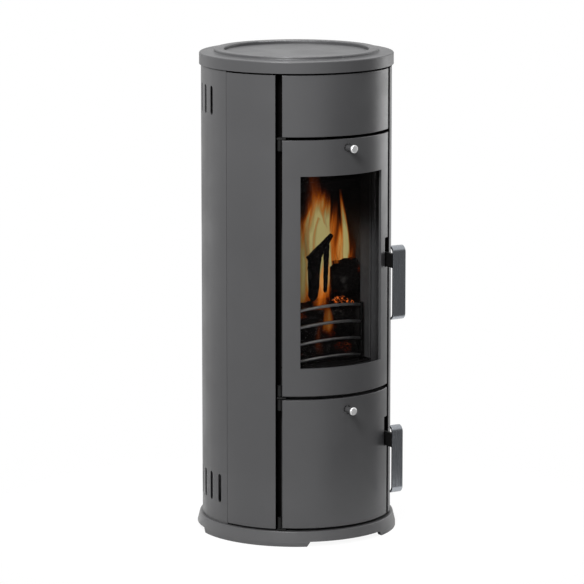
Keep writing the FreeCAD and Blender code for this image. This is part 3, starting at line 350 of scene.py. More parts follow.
def guard_steel():
    """Bare bars, black with soot towards the posts."""
    recipe = Recipe("guard_steel")
    axes = recipe.axes()
    width = recipe.math("ABSOLUTE", axes["X"], 0.0)
    darkening = recipe.level(width, 0.0, 1.0, GUARD_CLEAN_HALF, GUARD_CLEAN_HALF + GUARD_FADE)
    tone = recipe.ramp(recipe.noise(120.0, 4.0), (0.3, (0.20, 0.20, 0.20)), (0.7, (0.28, 0.28, 0.28)))
    recipe.drive("Base Color", recipe.mix(darkening, tone, (0.010, 0.010, 0.010)))
    recipe.drive("Roughness", recipe.level(recipe.noise(60.0, 4.0), 0.32, 0.50, 0.3, 0.7))
    recipe.set(Metallic=1.0)
    recipe.bump(recipe.noise(700.0), 0.2, 0.0001)
    return recipe.material


def brushed_steel():
    recipe = Recipe("handle_steel")
    lines = recipe.noise(1.0, 4.0, stretch=(2600.0, 2600.0, 14.0))
    tone = recipe.ramp(lines, (0.3, (0.34, 0.36, 0.39)), (0.7, (0.44, 0.46, 0.49)))
    recipe.drive("Base Color", tone)
    recipe.drive("Roughness", recipe.level(lines, 0.18, 0.28, 0.3, 0.7))
    recipe.set(Metallic=1.0)
    recipe.bump(lines, 0.10, 0.00005, recipe.soft_edges(0.0008))
    return recipe.material


def turned_steel():
    recipe = Recipe("knob_steel")
    rings = recipe.add("ShaderNodeTexWave", wave_type="RINGS", rings_direction="Y")
    rings.inputs["Scale"].default_value = 900.0
    rings.inputs["Distortion"].default_value = 0.6
    recipe.join(recipe.place, rings.inputs["Vector"])
    tone = recipe.ramp(rings.outputs["Fac"], (0.2, (0.80, 0.80, 0.80)), (0.8, (0.90, 0.90, 0.90)))
    recipe.drive("Base Color", tone)
    recipe.drive("Roughness", recipe.level(recipe.noise(300.0), 0.46, 0.58))
    recipe.set(Metallic=1.0)
    recipe.bump(rings.outputs["Fac"], 0.08, 0.00003, recipe.soft_edges(0.0004))
    return recipe.material


def firebrick():
    recipe = Recipe("firebrick")
    board = recipe.ramp(
        recipe.cells(420.0),
        (0.05, (0.125, 0.122, 0.116)),
        (0.45, (0.108, 0.106, 0.101)),
        (0.80, (0.092, 0.090, 0.086)),
    )
    axes = recipe.axes()
    # Painted shade towards the head of the firebox, a darker hearth and random soot patches
    height = recipe.level(axes["Z"], 0.0, 1.0, PAINTED_SHADE_FOOT, PAINTED_SHADE_HEAD)
    hearth = recipe.level(axes["Z"], 0.97, 0.0, HEARTH_DARK_LOW, HEARTH_DARK_HIGH)
    patches = recipe.level(recipe.noise(6.0, 6.0, distortion=0.8), 0.1, 0.5, 0.30, 0.60)
    darkening = recipe.math("MAXIMUM", recipe.math("MAXIMUM", height, hearth), patches)
    recipe.drive("Base Color", recipe.mix(darkening, board, SHADE_AND_SOOT_TONE))
    recipe.drive("Roughness", recipe.level(recipe.noise(80.0), 0.80, 1.0))
    recipe.drive("Specular IOR Level", recipe.level(darkening, 0.40, DARK_SPECULAR))
    flakes = recipe.math("ADD", recipe.cells(420.0), recipe.noise(90.0, 5.0))
    recipe.bump(flakes, 0.25, 0.0005, recipe.soft_edges(0.0015))
    return recipe.material


def window_glass():
    recipe = Recipe("window_glass")
    haze = recipe.level(recipe.noise(14.0, 5.0), 0.0, 0.04, 0.45, 0.8)
    facing = recipe.add("ShaderNodeLayerWeight").outputs["Facing"]
    cover = recipe.level(facing, 0.12, 0.60, 0.45, 1.0)
    recipe.drive("Alpha", recipe.math("ADD", cover, haze))
    tint = recipe.ramp(recipe.noise(5.0), (0.3, (0.004, 0.004, 0.004)), (0.7, (0.008, 0.007, 0.007)))
    recipe.drive("Base Color", tint)
    recipe.drive("Roughness", recipe.level(recipe.noise(20.0, 4.0), 0.02, 0.07, 0.3, 0.7))
    recipe.set(IOR=1.5, Specular_IOR_Level=0.12)
    return recipe.material


def frame_paint():
    """Grey paint round the openings, with painted shade: black at the head and black in the gaps beside the
    doors; black along the sill too.
    """
    recipe = Recipe("frame_paint")
    axes = recipe.axes()
    width = recipe.math("ABSOLUTE", axes["X"], 0.0)
    # Painted shade: black in the gaps beside the doors and towards the head
    gap_shade = recipe.level(width, 0.0, 1.0, FRAME_FACE_HALF, FRAME_FACE_HALF + FRAME_FADE)
    darkening = recipe.level(axes["Z"], 0.0, 1.0, PAINTED_SHADE_FOOT, PAINTED_SHADE_HEAD)
    from_sill = recipe.math("ABSOLUTE", recipe.math("SUBTRACT", axes["Z"], SILL_HEIGHT), 0.0)
    sill = recipe.level(from_sill, 1.0, 0.0, SILL_FULL, SILL_CLEAR)
    dark = recipe.math("MAXIMUM", recipe.math("MAXIMUM", gap_shade, darkening), sill)
    grey = recipe.ramp(recipe.noise(30.0, 4.0), (0.3, (0.050, 0.050, 0.051)), (0.7, (0.062, 0.062, 0.063)))
    recipe.drive("Base Color", recipe.mix(dark, grey, SHADE_AND_SOOT_TONE))
    recipe.drive("Specular IOR Level", recipe.level(dark, 0.45, DARK_SPECULAR))
    recipe.drive("Roughness", recipe.level(recipe.noise(40.0, 4.0), 0.55, 0.75, 0.3, 0.7))
    recipe.bump(recipe.noise(1400.0, 2.0), 0.3, 0.0001, recipe.soft_edges(0.0006))
    return recipe.material


def woven_rope(name):
    recipe = Recipe(name)
    yarn = recipe.add("ShaderNodeTexWave", wave_type="BANDS", bands_direction="DIAGONAL")
    yarn.inputs["Scale"].default_value = 420.0
    yarn.inputs["Distortion"].default_value = 1.2
    recipe.join(recipe.place, yarn.inputs["Vector"])
    fuzz = recipe.noise(900.0, 4.0)
    tone = recipe.ramp(yarn.outputs["Fac"], (0.1, (0.018, 0.018, 0.019)), (0.9, (0.075, 0.074, 0.072)))
    fluff = recipe.ramp(fuzz, (0.3, (0.02, 0.02, 0.02)), (0.7, (0.10, 0.10, 0.10)))
    recipe.drive("Base Color", recipe.mix(0.3, tone, fluff))
    recipe.drive("Roughness", recipe.level(fuzz, 0.75, 1.0))
    recipe.set(Sheen_Weight=0.25)
    recipe.bump(recipe.math("ADD", yarn.outputs["Fac"], fuzz), 0.6, 0.0004)
    return recipe.material


def charcoal(name, crack_scale, glow, ash, first_heat):
    recipe = Recipe(name)
    cracks = recipe.cells(crack_scale, "DISTANCE_TO_EDGE")
    grain = recipe.noise(160.0, 6.0)
    burnt = recipe.ramp(grain, (0.35, (0.0012, 0.0010, 0.0009)), (0.65, (0.0055, 0.0045, 0.0040)))
    pale = recipe.level(recipe.noise(34.0, 6.0), 0.0, ash, 0.56, 0.74)
    recipe.drive("Base Color", recipe.mix(pale, burnt, (0.16, 0.15, 0.14)))
    recipe.drive("Roughness", recipe.level(grain, 0.75, 1.0))
    recipe.set(Specular_IOR_Level=DARK_SPECULAR)
    crack_heat = recipe.level(cracks, 1.0, 0.0, 0.0, 0.07)
    patch = recipe.level(recipe.noise(21.0, 3.0), 0.0, 1.0, first_heat, first_heat + 0.14)
    heat = recipe.math("MULTIPLY", crack_heat, patch)
    colours = recipe.ramp(
        heat,
        (0.0, (0.0, 0.0, 0.0)),
        (0.5, (0.16, 0.014, 0.001)),
        (1.0, (0.60, 0.130, 0.016)),
    )
    recipe.drive("Emission Color", colours)
    recipe.set(Emission_Strength=glow)
    relief = recipe.math("ADD", grain, recipe.level(cracks, 0.0, 1.0, 0.0, 0.12))
    recipe.bump(relief, 0.8, 0.002)
    return recipe.material


def flame(name, gain, strength):
    """Glowing sheet, hottest along its middle; gain sets how far the middle goes to pale yellow."""
    recipe = Recipe(name, "UV")
    shape = recipe.add("ShaderNodeUVMap", uv_map="shape")
    axes = recipe.axes(shape.outputs["UV"])
    sway = recipe.noise(1.0, 3.0, stretch=(2.2, 0.8, 1.0), distortion=0.6)
    shifted = recipe.math("ADD", axes["X"], recipe.level(sway, -0.14, 0.14, 0.2, 0.8))
    doubled = recipe.math("MULTIPLY", shifted, 2.0)
    side = recipe.math("ABSOLUTE", recipe.math("SUBTRACT", doubled, 1.0), 0.0)
    core = recipe.level(side, 1.0, 0.0, 0.05, 1.0)
    rise = recipe.level(axes["Y"], 1.0, 0.0, 0.55, 1.0)
    foot = recipe.level(axes["Y"], 0.0, 1.0, 0.0, 0.35)
    streaks = recipe.noise(1.0, 5.0, stretch=(3.4, 0.6, 1.0), distortion=0.7)
    licks = recipe.level(streaks, 0.70, 1.0, 0.28, 0.68)
    patches = recipe.level(recipe.noise(1.0, 2.0, stretch=(0.9, 0.5, 1.0)), 0.72, 1.05, 0.3, 0.7)
    body = recipe.math("MULTIPLY", recipe.math("MULTIPLY", core, rise), foot)
    flicker = recipe.math("MULTIPLY", licks, patches)
    heat = recipe.math("MULTIPLY", recipe.math("MULTIPLY", body, flicker), gain)
    colours = recipe.ramp(
        heat,
        (0.00, (0.008, 0.000, 0.000)),
        (0.12, (0.040, 0.004, 0.000)),
        (0.26, (0.180, 0.028, 0.001)),
        (0.40, (0.400, 0.090, 0.006)),
        (0.54, (0.400, 0.170, 0.035)),
        (0.70, (0.330, 0.260, 0.095)),
        (0.88, (0.440, 0.380, 0.155)),
    )
    recipe.drive("Emission Color", colours)
    recipe.drive("Alpha", recipe.level(heat, 0.0, 0.92, 0.05, 0.70))
    recipe.drive("Base Color", recipe.ramp(heat, (0.0, (0.0, 0.0, 0.0)), (1.0, (0.02, 0.01, 0.0))))
    recipe.set(Emission_Strength=strength, Roughness=1.0, Specular_IOR_Level=0.0)
    return recipe.material


# Meshes
def new_piece(name, mesh, material, body):
    piece = bpy.data.objects.new(name, mesh)
    bpy.context.scene.collection.objects.link(piece)
    mesh.materials.append(material)
    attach(piece, body)
    return piece


def mesh_from(name, points, faces):
    mesh = bpy.data.meshes.new(name)
    mesh.from_pydata([tuple(point) for point in points], [], faces)
    mesh.validate()
    mesh.update()
    mesh.shade_smooth()
    return mesh


def closed_loft(rings):
    """Points and faces of a tube whose last ring joins its first."""
    count = len(rings[0])
    points = [point for ring in rings for point in ring]
    faces = []
    for step in range(len(rings)):
        low = step * count
        high = (step + 1) % len(rings) * count
        for spot in range(count):
            following = (spot + 1) % count
            faces.append((low + spot, low + following, high + following, high + spot))
    return points, faces


def capped_loft(rings):
    """Points and faces of a tube with a fan at each end."""
    count = len(rings[0])
    points = [point for ring in rings for point in ring]
    faces = []
    for step in range(len(rings) - 1):
        for spot in range(count):
            following = (spot + 1) % count
            low = step * count
            high = low + count
            faces.append((low + spot, low + following, high + following, high + spot))
    for ring, start, flip in ((rings[0], 0, True), (rings[-1], (len(rings) - 1) * count, False)):
        middle = sum(ring, Vector()) / count
        points.append(middle)
        centre = len(points) - 1
        for spot in range(count):
            following = (spot + 1) % count
            face = (start + spot, start + following, centre)
            faces.append(face[::-1] if flip else face)
    return points, faces


def rounded_rectangle(half_width, low, high, corner, step):
    """Points round a flat outline, evenly spaced, with the way each one faces along the outline."""
    runs = []
    centres = [
        (half_width - corner, high - corner, 0.0),
        (corner - half_width, high - corner, math.pi / 2),
        (corner - half_width, low + corner, math.pi),
        (half_width - corner, low + corner, 1.5 * math.pi),
    ]
    for number, (x, z, start) in enumerate(centres):
        pieces = max(3, round(corner * math.pi / 2 / step))
        for piece in range(pieces + 1):
            turn = start + piece / pieces * math.pi / 2
            spot = Vector((x + corner * math.cos(turn), z + corner * math.sin(turn)))
            runs.append((spot, turn + math.pi / 2))
        next_x, next_z, next_start = centres[(number + 1) % 4]
        here = runs[-1][0]
        there = Vector((next_x + corner * math.cos(next_start), next_z + corner * math.sin(next_start)))
        pieces = max(2, round((there - here).length / step))
        for piece in range(1, pieces):
            runs.append((here.lerp(there, piece / pieces), runs[-1][1]))
    return runs


def curved_band(name, node, radius, width, thickness, corner, strands, lay):
    """A rope or tape that follows the edge of a curved door, in the place of its solid."""
    low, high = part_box(node)
    half = (radius * math.asin(high.x / (radius + thickness / 2))) - width / 2
    outline = rounded_rectangle(half, low.z + width / 2, high.z - width / 2, corner, PATH_STEP)
    rings = []
    run = 0.0
    before = outline[-1][0]
    for spot, heading in outline:
        run += (spot - before).length
        before = spot
        angle = spot.x / radius
        outward = plan_point(1.0, angle, 0.0)
        along = Vector((math.cos(angle), math.sin(angle), 0.0))
        facing = heading - math.pi / 2
        across = along * math.cos(facing) + UP * math.sin(facing)
        centre = plan_point(radius, angle, spot.y)
        ring = []
        for side in range(BAND_SIDES):
            turn = 2 * math.pi * side / BAND_SIDES
            swell = 1.0
            if strands:
                swell -= STRAND_DEPTH * (1 + math.cos(strands * turn + 2 * math.pi * run / lay))
            flat = math.copysign(abs(math.cos(turn)) ** BAND_SQUARENESS, math.cos(turn))
            wide = math.copysign(abs(math.sin(turn)) ** BAND_SQUARENESS, math.sin(turn))
            thick_way = outward * (flat * thickness / 2 * swell)
            wide_way = across * (wide * width / 2 * swell)
            ring.append(centre + thick_way + wide_way)
        rings.append(ring)
    points, faces = closed_loft(rings)
    return mesh_from(name, points, faces)


def islands(node):
    """The separate solids of a node, each as a list of its points."""
    source = bmesh.new()
    source.from_mesh(frame["nodes"][node].data)
    bmesh.ops.remove_doubles(source, verts=source.verts, dist=1e-6)
    waiting = set(source.verts)
    groups = []
    while waiting:
        front = [waiting.pop()]
        group = []
        while front:
            vertex = front.pop()
            group.append(vertex.co.copy())
            for edge in vertex.link_edges:
                other = edge.other_vert(vertex)
                if other in waiting:
                    waiting.remove(other)
                    front.append(other)
        groups.append(group)
    source.free()
    return groups


def socket_screw(points, head_radius, head_height, outward):
    """Rings of a button head with a six-sided socket, standing where the solid screw's head is."""
    middle = sum(points, Vector()) / len(points)
    angle = math.atan2(middle.x, -middle.y)
    direction = plan_point(1.0, angle, 0.0) * (1 if outward else -1)
    reach = max(point.dot(direction) for point in points)
    low = min(point.z for point in points)
    high = max(point.z for point in points)
    height = Vector((0, 0, (low + high) / 2))
    centre = direction * (reach - head_height) + height
    side = direction.cross(UP)
    socket = head_radius * SOCKET_SHARE
    profile = [
        (head_radius, 0.0, False),
        (head_radius, head_height * 0.25, False),
        (head_radius * 0.93, head_height * 0.60, False),
        (head_radius * 0.74, head_height * 0.90, False),
        (head_radius * 0.58, head_height, False),
        (socket, head_height, True),
        (socket, head_height * 0.35, True),
    ]
    rings = []
    for radius, rise, six in profile:
        ring = []
        for spot in range(HEAD_SIDES):
            turn = 2 * math.pi * spot / HEAD_SIDES
            wedge = (turn % (math.pi / 3)) - math.pi / 6
            reach_out = radius * math.cos(math.pi / 6) / math.cos(wedge) if six else radius
            outline = side * (reach_out * math.cos(turn)) + UP * (reach_out * math.sin(turn))
            ring.append(centre + direction * rise + outline)
        rings.append(ring)
    return capped_loft(rings)


def screw_group(name, node, head_radius, head_height, outward):
    points = []
    faces = []
    for solid in islands(node):
        some_points, some_faces = socket_screw(solid, head_radius, head_height, outward)
        offset = len(points)
        points.extend(some_points)
        faces.extend(tuple(index + offset for index in face) for face in some_faces)
    return mesh_from(name, points, faces)


def burnt_log(name, start, end, radius, seed, taper, knobs, rounding):
    """A charred log: a bent, split cylinder with cracked skin; rounding sets how far its ends close."""
    axis = (end - start).normalized()
    side = axis.orthogonal().normalized()
    up = axis.cross(side)
    length = (end - start).length
    steps = max(24, round(length / LOG_STEP))
    shift = Vector((seed * 3.7, seed * 1.9, seed * 5.3))
    rings = []
    for step in range(steps + 1):
        share = step / steps
        centre = start.lerp(end, share)
        sway = side * (0.10 * radius * math.sin(2.6 * share + seed))
        centre += sway + up * (0.08 * radius * math.cos(2.1 * share + seed))
        edge = min(share, 1 - share) * length
        closed = max(0.0, min(1.0, edge / (max(0.10, rounding) * radius)))
        closing = 1 - rounding * (1 - math.sqrt(closed))
        ring = []
        for spot in range(LOG_SIDES):
            turn = 2 * math.pi * spot / LOG_SIDES
            way = side * math.cos(turn) + up * math.sin(turn)
            probe = (way * 1.2 + axis * (share * length / radius * 0.5)) * 1.6 + shift
            lump = noise.noise(probe) * knobs
            ridge = noise.noise(Vector((probe.x * 5, probe.y * 5, probe.z * 5))) * 0.05
            near = noise.voronoi(probe * 2.4)[0]
            crack = min(0.30, near[1] - near[0]) / 0.30
            size = radius * closing * (1 - taper * share) * (1 + lump + ridge + 0.07 * (crack - 1))
            rough_end = axis * (0.10 * radius * noise.noise(probe * 3) * (edge < 1e-9))
            ring.append(centre + way * size + rough_end)
        rings.append(ring)
    points, faces = capped_loft(rings)
    return mesh_from(name, points, faces)


def ember_bed(name, middle, bed_radius, count, sizes):
    """A bed of cracked lumps, strewn round its middle."""
    chance = random.Random(FIRE_SEED)
    points = []
    faces = []
    for lump in range(count):
        size = chance.uniform(*sizes)
        reach = bed_radius * math.sqrt(chance.random())
        centre = middle + plan_point(reach, chance.uniform(-math.pi, math.pi), size * 0.6)
        centre.z += chance.uniform(0.0, 0.012)
        ball = bmesh.new()
        bmesh.ops.create_icosphere(ball, subdivisions=3, radius=size)
        squash = Vector((chance.uniform(0.8, 1.3), chance.uniform(0.8, 1.3), chance.uniform(0.55, 0.8)))
        shift = Vector((lump * 1.7, lump * 0.6, lump * 2.3))
        offset = len(points)
        for vertex in ball.verts:
            facet = noise.voronoi(vertex.co / size * 1.3 + shift)[0]
            bulge = 0.78 + 0.32 * min(1.0, facet[1] - facet[0])
            grow = bulge + 0.12 * noise.noise(vertex.co / size * 2 + shift)
            spot = Vector((vertex.co.x * squash.x, vertex.co.y * squash.y, vertex.co.z * squash.z)) * grow
            points.append(centre + spot)
        faces.extend(tuple(vertex.index + offset for vertex in face.verts) for face in ball.faces)
        ball.free()
    return mesh_from(name, points, faces)


def flame_tongue(name, foot, height, width, lean, forward, seed):
    """One curved, tapering sheet of flame with its own outline and a drifting middle line."""
    points = []
    faces = []
    shape = []
    grain = []
    right = fire_point(1.0, 0.0, 0.0)
    near = fire_point(0.0, 1.0, 0.0)
    for row in range(FLAME_ROWS + 1):
        share = row / FLAME_ROWS
        belly = 0.65 + 0.35 * math.sin(math.pi * min(1.0, share + 0.25))
        spread = width * belly * (1 - share) ** 0.25
        drift = lean * share**1.3 + 0.10 * width * math.sin(7.0 * share + seed) * share
        for column in range(FLAME_COLUMNS + 1):
            part = column / FLAME_COLUMNS
            offset = (part - 0.5) * spread
            hollow = FLAME_HOLLOW * width * (0.25 - (part - 0.5) ** 2)
            ripple = 0.12 * width * math.sin(5 * share + 2 * seed + 3 * part)
            reach = forward * share**1.5 + (hollow + ripple)
            points.append(foot + right * (drift + offset) + near * reach + UP * (share * height))
            shape.append((part, share))
            grain.append((part * width * 14 + seed * 3.1, share * height * 9 + seed * 1.7))
    line = FLAME_COLUMNS + 1
    for row in range(FLAME_ROWS):
        for column in range(FLAME_COLUMNS):
            corner = row * line + column
            faces.append((corner, corner + 1, corner + line + 1, corner + line))
    mesh = mesh_from(name, points, faces)
    for layer_name, values in (("grain", grain), ("shape", shape)):
        layer = mesh.uv_layers.new(name=layer_name)
        for loop in mesh.loops:
            layer.data[loop.index].uv = values[loop.vertex_index]
    mesh.uv_layers.active = mesh.uv_layers["grain"]
    mesh.uv_layers["grain"].active_render = True
    return mesh


# Finishes of the solids
finishes = {
    "casing_paint": heatproof_paint("casing_paint", (0.062, 0.062, 0.0645), 1500.0, 0.00012, 0.36, True),
    "cast_paint": heatproof_paint("cast_paint", (0.064, 0.064, 0.0665), 900.0, 0.00025, 0.40, False),
    "black_steel": black_steel(),
    "frame_paint": frame_paint(),
    "cast_black": sooted_iron(),
    "plated_steel": plated_steel(),
    "guard_steel": guard_steel(),
    "handle_steel": brushed_steel(),
    "knob_steel": turned_steel(),
    "firebrick": firebrick(),
    "window_glass": window_glass(),
    "rope": woven_rope("rope"),
}
# Painted light: the base takes a lighter copy of the cast paint, standing in for the light that reaches it
lit_base_paint = heatproof_paint("lit_base_paint", (0.084, 0.084, 0.0865), 900.0, 0.00025, 0.34, False)
for entry in frame["record"]["subparts"]:
    solid = frame["nodes"][entry["node"]]
    for place in solid.material_slots:
        place.material = finishes[entry["material_slot"]]
for place in frame["nodes"]["base_plinth"].material_slots:
    place.material = lit_base_paint

# Seals and screws in place of their plain solids
for door in ("fire_door", "ash_door"):
    seal_node = door + "_rope_seal"
    seal = curved_band(
        door + "_seal_rope",
        seal_node,
        SEAL_RADIUS,
        SEAL_WIDTH,
        SEAL_THICKNESS,
        SEAL_CORNER,
        SEAL_STRANDS,
        SEAL_LAY,
    )
    seal_piece = new_piece(door + "_seal_rope", seal, finishes["rope"], door)
    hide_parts(seal_node)
tape = curved_band(
    "fire_door_tape",
    "fire_door_glass_tape",
    TAPE_RADIUS,
    TAPE_WIDTH,
    TAPE_THICKNESS,
    TAPE_CORNER,
    TAPE_STRANDS,
    SEAL_LAY,
)
tape_piece = new_piece("fire_door_tape", tape, finishes["rope"], "fire_door")
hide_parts("fire_door_glass_tape")

plated = finishes["plated_steel"]
casing_heads = screw_group(
    "casing_socket_screws", "casing_screws", CASING_HEAD_RADIUS, CASING_HEAD_HEIGHT, True
)
casing_piece = new_piece("casing_socket_screws", casing_heads, plated, "stove_body")
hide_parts("casing_screws")
clamp_heads = screw_group(
    "clamp_socket_screws", "fire_door_clamp_screws", CLAMP_HEAD_RADIUS, CLAMP_HEAD_HEIGHT, False
)
clamp_piece = new_piece("clamp_socket_screws", clamp_heads, plated, "fire_door")
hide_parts("fire_door_clamp_screws")

# Fire
char = charcoal("charred_wood", 150.0, 0.5, 0.25, 0.56)
ember = charcoal("embers", 120.0, 0.9, 0.7, 0.58)
hot_ember = charcoal("hot_embers", 90.0, 1.6, 0.7, 0.36)

# Each log: name, start, end, radius, taper, knobs and how far its ends are rounded
logs = [
    ("log_back", Vector((-0.085, 0.015, 0.420)), Vector((0.090, 0.000, 0.424)), 0.042, 0.1, 0.16, 0.08),
    ("log_front", Vector((-0.080, -0.096, 0.412)), Vector((0.088, -0.098, 0.414)), 0.034, 0.1, 0.16, 0.08),
    ("log_upper", Vector((-0.074, -0.088, 0.481)), Vector((0.080, -0.092, 0.478)), 0.036, 0.1, 0.16, 0.08),
    ("log_middle", Vector((-0.060, -0.030, 0.494)), Vector((0.085, -0.036, 0.496)), 0.030, 0.1, 0.16, 0.08),
    ("log_right", fire_point(0.075, 0.006, 0.569), fire_point(0.139, -0.002, 0.569), 0.0445, 0.0, 0.04, 0.08),
    ("log_leaning", fire_point(0.08, 0.076, 0.684), fire_point(0.034, 0.074, 0.622), 0.005, -2.2, 0.1, 0.08),
    ("log_leg", fire_point(0.043, 0.074, 0.640), fire_point(0.036, 0.072, 0.532), 0.0165, 0.36, 0.14, 0.70),
    (
        "log_splinter",
        fire_point(0.068, 0.074, 0.668),
        fire_point(0.064, 0.078, 0.552),
        0.0072,
        0.4,
        0.16,
        0.70,
    ),
]
for number, (name, start, end, radius, taper, knobs, rounding) in enumerate(logs):
    log = burnt_log(name, start, end, radius, number + 1, taper, knobs, rounding)
    new_piece(name, log, char, "stove_body")
grate_middle = Vector((0.0, 0.0, GRATE_TOP))
bed = ember_bed("ember_bed", grate_middle, EMBER_BED_RADIUS, EMBER_COUNT, EMBER_SIZES)
new_piece("ember_bed", bed, ember, "stove_body")
pile = ember_bed("ember_pile", fire_point(*PILE_PLACE), PILE_RADIUS, PILE_COUNT, PILE_SIZES)
new_piece("ember_pile", pile, hot_ember, "stove_body")

# Each look: how far its middle goes to pale yellow, and how strongly it glows
flame_looks = {
    "mass": flame("flame_mass", 1.55, 0.92),
    "pale": flame("flame_pale", 1.15, 1.0),
    "soft": flame("flame_soft", 1.10, 0.5),
    "orange": flame("flame_orange", 0.64, 1.35),
    "amber": flame("flame_amber", 0.60, 1.95),
    "dim": flame("flame_dim", 0.36, 1.0),
    "veil": flame("flame_veil", 0.52, 0.60),
}

# Each flame: across, depth, foot height, height, width, lean, forward and look
flames = [
    (0.050, -0.020, 0.470, 0.360, 0.125, 0.002, 0.130, "mass"),
    (0.062, -0.010, 0.490, 0.330, 0.095, -0.002, 0.095, "mass"),
    (0.034, -0.015, 0.480, 0.345, 0.098, 0.002, 0.105, "mass"),
    (0.045, -0.040, 0.460, 0.460, 0.140, 0.000, 0.160, "orange"),
    (0.012, 0.000, 0.440, 0.330, 0.050, 0.004, 0.070, "soft"),
    (0.020, -0.005, 0.470, 0.300, 0.050, 0.004, 0.060, "soft"),
    (0.084, -0.030, 0.520, 0.270, 0.075, -0.004, 0.060, "amber"),
    (0.098, -0.025, 0.520, 0.230, 0.080, 0.002, 0.020, "amber"),
    (0.114, -0.015, 0.530, 0.285, 0.036, -0.014, 0.020, "pale"),
    (0.126, -0.045, 0.510, 0.230, 0.090, 0.000, 0.020, "dim"),
    (0.122, -0.030, 0.530, 0.150, 0.050, 0.004, 0.020, "orange"),
    (0.056, 0.056, 0.470, 0.190, 0.050, 0.004, 0.000, "amber"),
    (0.072, 0.060, 0.500, 0.170, 0.026, 0.002, 0.000, "amber"),
    (0.070, 0.118, 0.450, 0.100, 0.042, 0.004, -0.030, "veil"),
    (0.074, 0.116, 0.440, 0.110, 0.020, -0.002, -0.030, "dim"),
    (0.050, 0.120, 0.390, 0.140, 0.036, 0.004, -0.020, "dim"),
    (0.012, 0.116, 0.440, 0.110, 0.034, 0.002, -0.030, "dim"),
    (-0.030, -0.030, 0.460, 0.340, 0.100, 0.020, 0.090, "pale"),
    (-0.060, -0.030, 0.460, 0.280, 0.090, 0.010, 0.050, "orange"),
]
for number, (across, depth, foot, height, width, lean, forward, look) in enumerate(flames):
    name = f"flame_{number + 1:02d}"
    spot = fire_point(across, depth, foot)
    sheet = flame_tongue(name, spot, height, width, lean, forward, number * 1.37 + 0.4)
    new_piece(name, sheet, flame_looks[look], "stove_body")


# Studio: a pale floor, a white surround and soft light
def floor_material():
    recipe = Recipe("floor")
    pale = recipe.ramp(recipe.noise(0.6), (0.3, (0.77, 0.77, 0.77)), (0.7, (0.80, 0.80, 0.80)))
    recipe.drive("Base Color", pale)
    recipe.set(Roughness=0.9)
    shown = recipe.add("ShaderNodeBsdfDiffuse")
    shown.inputs["Color"].default_value = (FLOOR_TONE, FLOOR_TONE, FLOOR_TONE, 1.0)
    glow = recipe.add("ShaderNodeEmission")
    glow.inputs["Strength"].default_value = FLOOR_GLOW
    both = recipe.add("ShaderNodeAddShader")
    recipe.join(shown.outputs[0], both.inputs[0])
    recipe.join(glow.outputs[0], both.inputs[1])
    path = recipe.add("ShaderNodeLightPath")
    choice = recipe.add("ShaderNodeMixShader")
    recipe.join(path.outputs["Is Camera Ray"], choice.inputs[0])
    recipe.join(recipe.shader.outputs[0], choice.inputs[1])
    recipe.join(both.outputs[0], choice.inputs[2])
    reach = recipe.add("ShaderNodeVectorMath", operation="LENGTH")
    recipe.join(recipe.place, reach.inputs[0])
    fade = recipe.add("ShaderNodeMixShader")
    recipe.join(recipe.level(reach.outputs["Value"], 0.0, 1.0, FLOOR_CLEAR, FLOOR_REACH), fade.inputs[0])
    recipe.join(choice.outputs[0], fade.inputs[1])
    recipe.join(recipe.add("ShaderNodeBsdfTransparent").outputs[0], fade.inputs[2])
    recipe.join(fade.outputs[0], recipe.tree.nodes["Material Output"].inputs["Surface"])
    return recipe.material


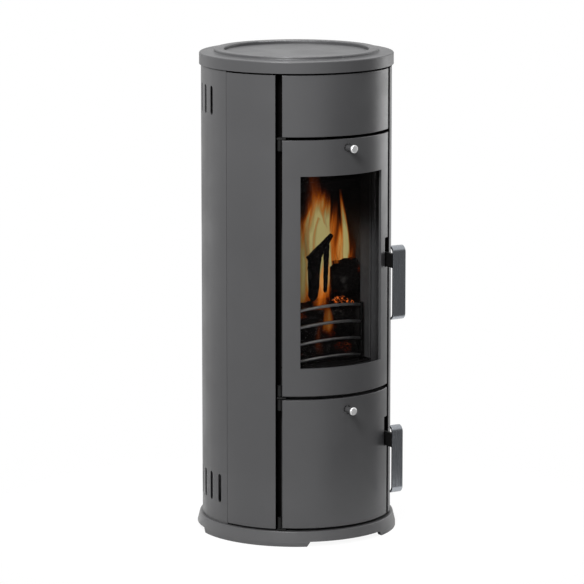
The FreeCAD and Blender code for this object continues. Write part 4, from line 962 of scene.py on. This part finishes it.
def world():
    made = bpy.data.worlds.new("studio")
    bpy.context.scene.world = made
    made.use_nodes = True
    tree = made.node_tree
    ambient = tree.nodes["Background"]
    ambient.inputs["Color"].default_value = (1.0, 1.0, 1.0, 1.0)
    ambient.inputs["Strength"].default_value = AMBIENT_LEVEL
    white = tree.nodes.new("ShaderNodeBackground")
    white.inputs["Color"].default_value = (1.0, 1.0, 1.0, 1.0)
    surround = tree.nodes.new("ShaderNodeBackground")
    place = tree.nodes.new("ShaderNodeTexCoord")
    front = tree.nodes.new("ShaderNodeVectorMath")
    front.operation = "DOT_PRODUCT"
    front.inputs[1].default_value = plan_point(1.0, DARK_WALL_TURN, DARK_WALL_DROP)
    tree.links.new(place.outputs["Generated"], front.inputs[0])
    shade = tree.nodes.new("ShaderNodeMapRange")
    shade.interpolation_type = "SMOOTHSTEP"
    shade.inputs["From Min"].default_value = DARK_WALL_START
    shade.inputs["From Max"].default_value = DARK_WALL_FULL
    shade.inputs["To Min"].default_value = 1.0
    shade.inputs["To Max"].default_value = DARK_WALL_LEVEL
    tree.links.new(front.outputs["Value"], shade.inputs["Value"])
    tree.links.new(shade.outputs["Result"], surround.inputs["Strength"])
    path = tree.nodes.new("ShaderNodeLightPath")
    mirror_rays = tree.nodes.new("ShaderNodeMath")
    mirror_rays.operation = "MAXIMUM"
    tree.links.new(path.outputs["Is Glossy Ray"], mirror_rays.inputs[0])
    tree.links.new(path.outputs["Is Transmission Ray"], mirror_rays.inputs[1])
    lit = tree.nodes.new("ShaderNodeMixShader")
    tree.links.new(mirror_rays.outputs[0], lit.inputs[0])
    tree.links.new(ambient.outputs[0], lit.inputs[1])
    tree.links.new(surround.outputs[0], lit.inputs[2])
    seen = tree.nodes.new("ShaderNodeMixShader")
    tree.links.new(path.outputs["Is Camera Ray"], seen.inputs[0])
    tree.links.new(lit.outputs[0], seen.inputs[1])
    tree.links.new(white.outputs[0], seen.inputs[2])
    tree.links.new(seen.outputs[0], tree.nodes["World Output"].inputs["Surface"])


def area_light(name, place, target, size, power):
    lamp = bpy.data.lights.new(name, "AREA")
    lamp.shape = "SQUARE"
    lamp.size = size
    lamp.energy = power
    holder = bpy.data.objects.new(name, lamp)
    holder.location = place
    holder.rotation_euler = (target - place).to_track_quat("-Z", "Y").to_euler()
    bpy.context.scene.collection.objects.link(holder)


floor_plane = mesh_from(
    "floor",
    [(x * FLOOR_REACH, y * FLOOR_REACH, 0.0) for x, y in ((-1, -1), (1, -1), (1, 1), (-1, 1))],
    [(0, 1, 2, 3)],
)
floor_plane.materials.append(floor_material())
floor = bpy.data.objects.new("floor", floor_plane)
bpy.context.scene.collection.objects.link(floor)

world()
for lamp_name, (distance, turn, height, target, size, watts) in LAMPS.items():
    area_light(lamp_name, plan_point(distance, math.radians(turn), height), target, size, watts)

lens = bpy.data.cameras.new("camera")
lens.sensor_width = SENSOR_MM
lens.lens = FOCAL_PIXELS / IMAGE_PIXELS * SENSOR_MM
lens.clip_end = 100.0
camera = bpy.data.objects.new("camera", lens)
camera.location = plan_point(CAMERA_DISTANCE, -CAMERA_AZIMUTH, CAMERA_HEIGHT)
camera.rotation_euler = (math.pi / 2 - CAMERA_PITCH, 0.0, CAMERA_TURN - CAMERA_AZIMUTH)
bpy.context.scene.collection.objects.link(camera)
bpy.context.scene.camera = camera
bpy.context.scene.view_settings.view_transform = "Standard"
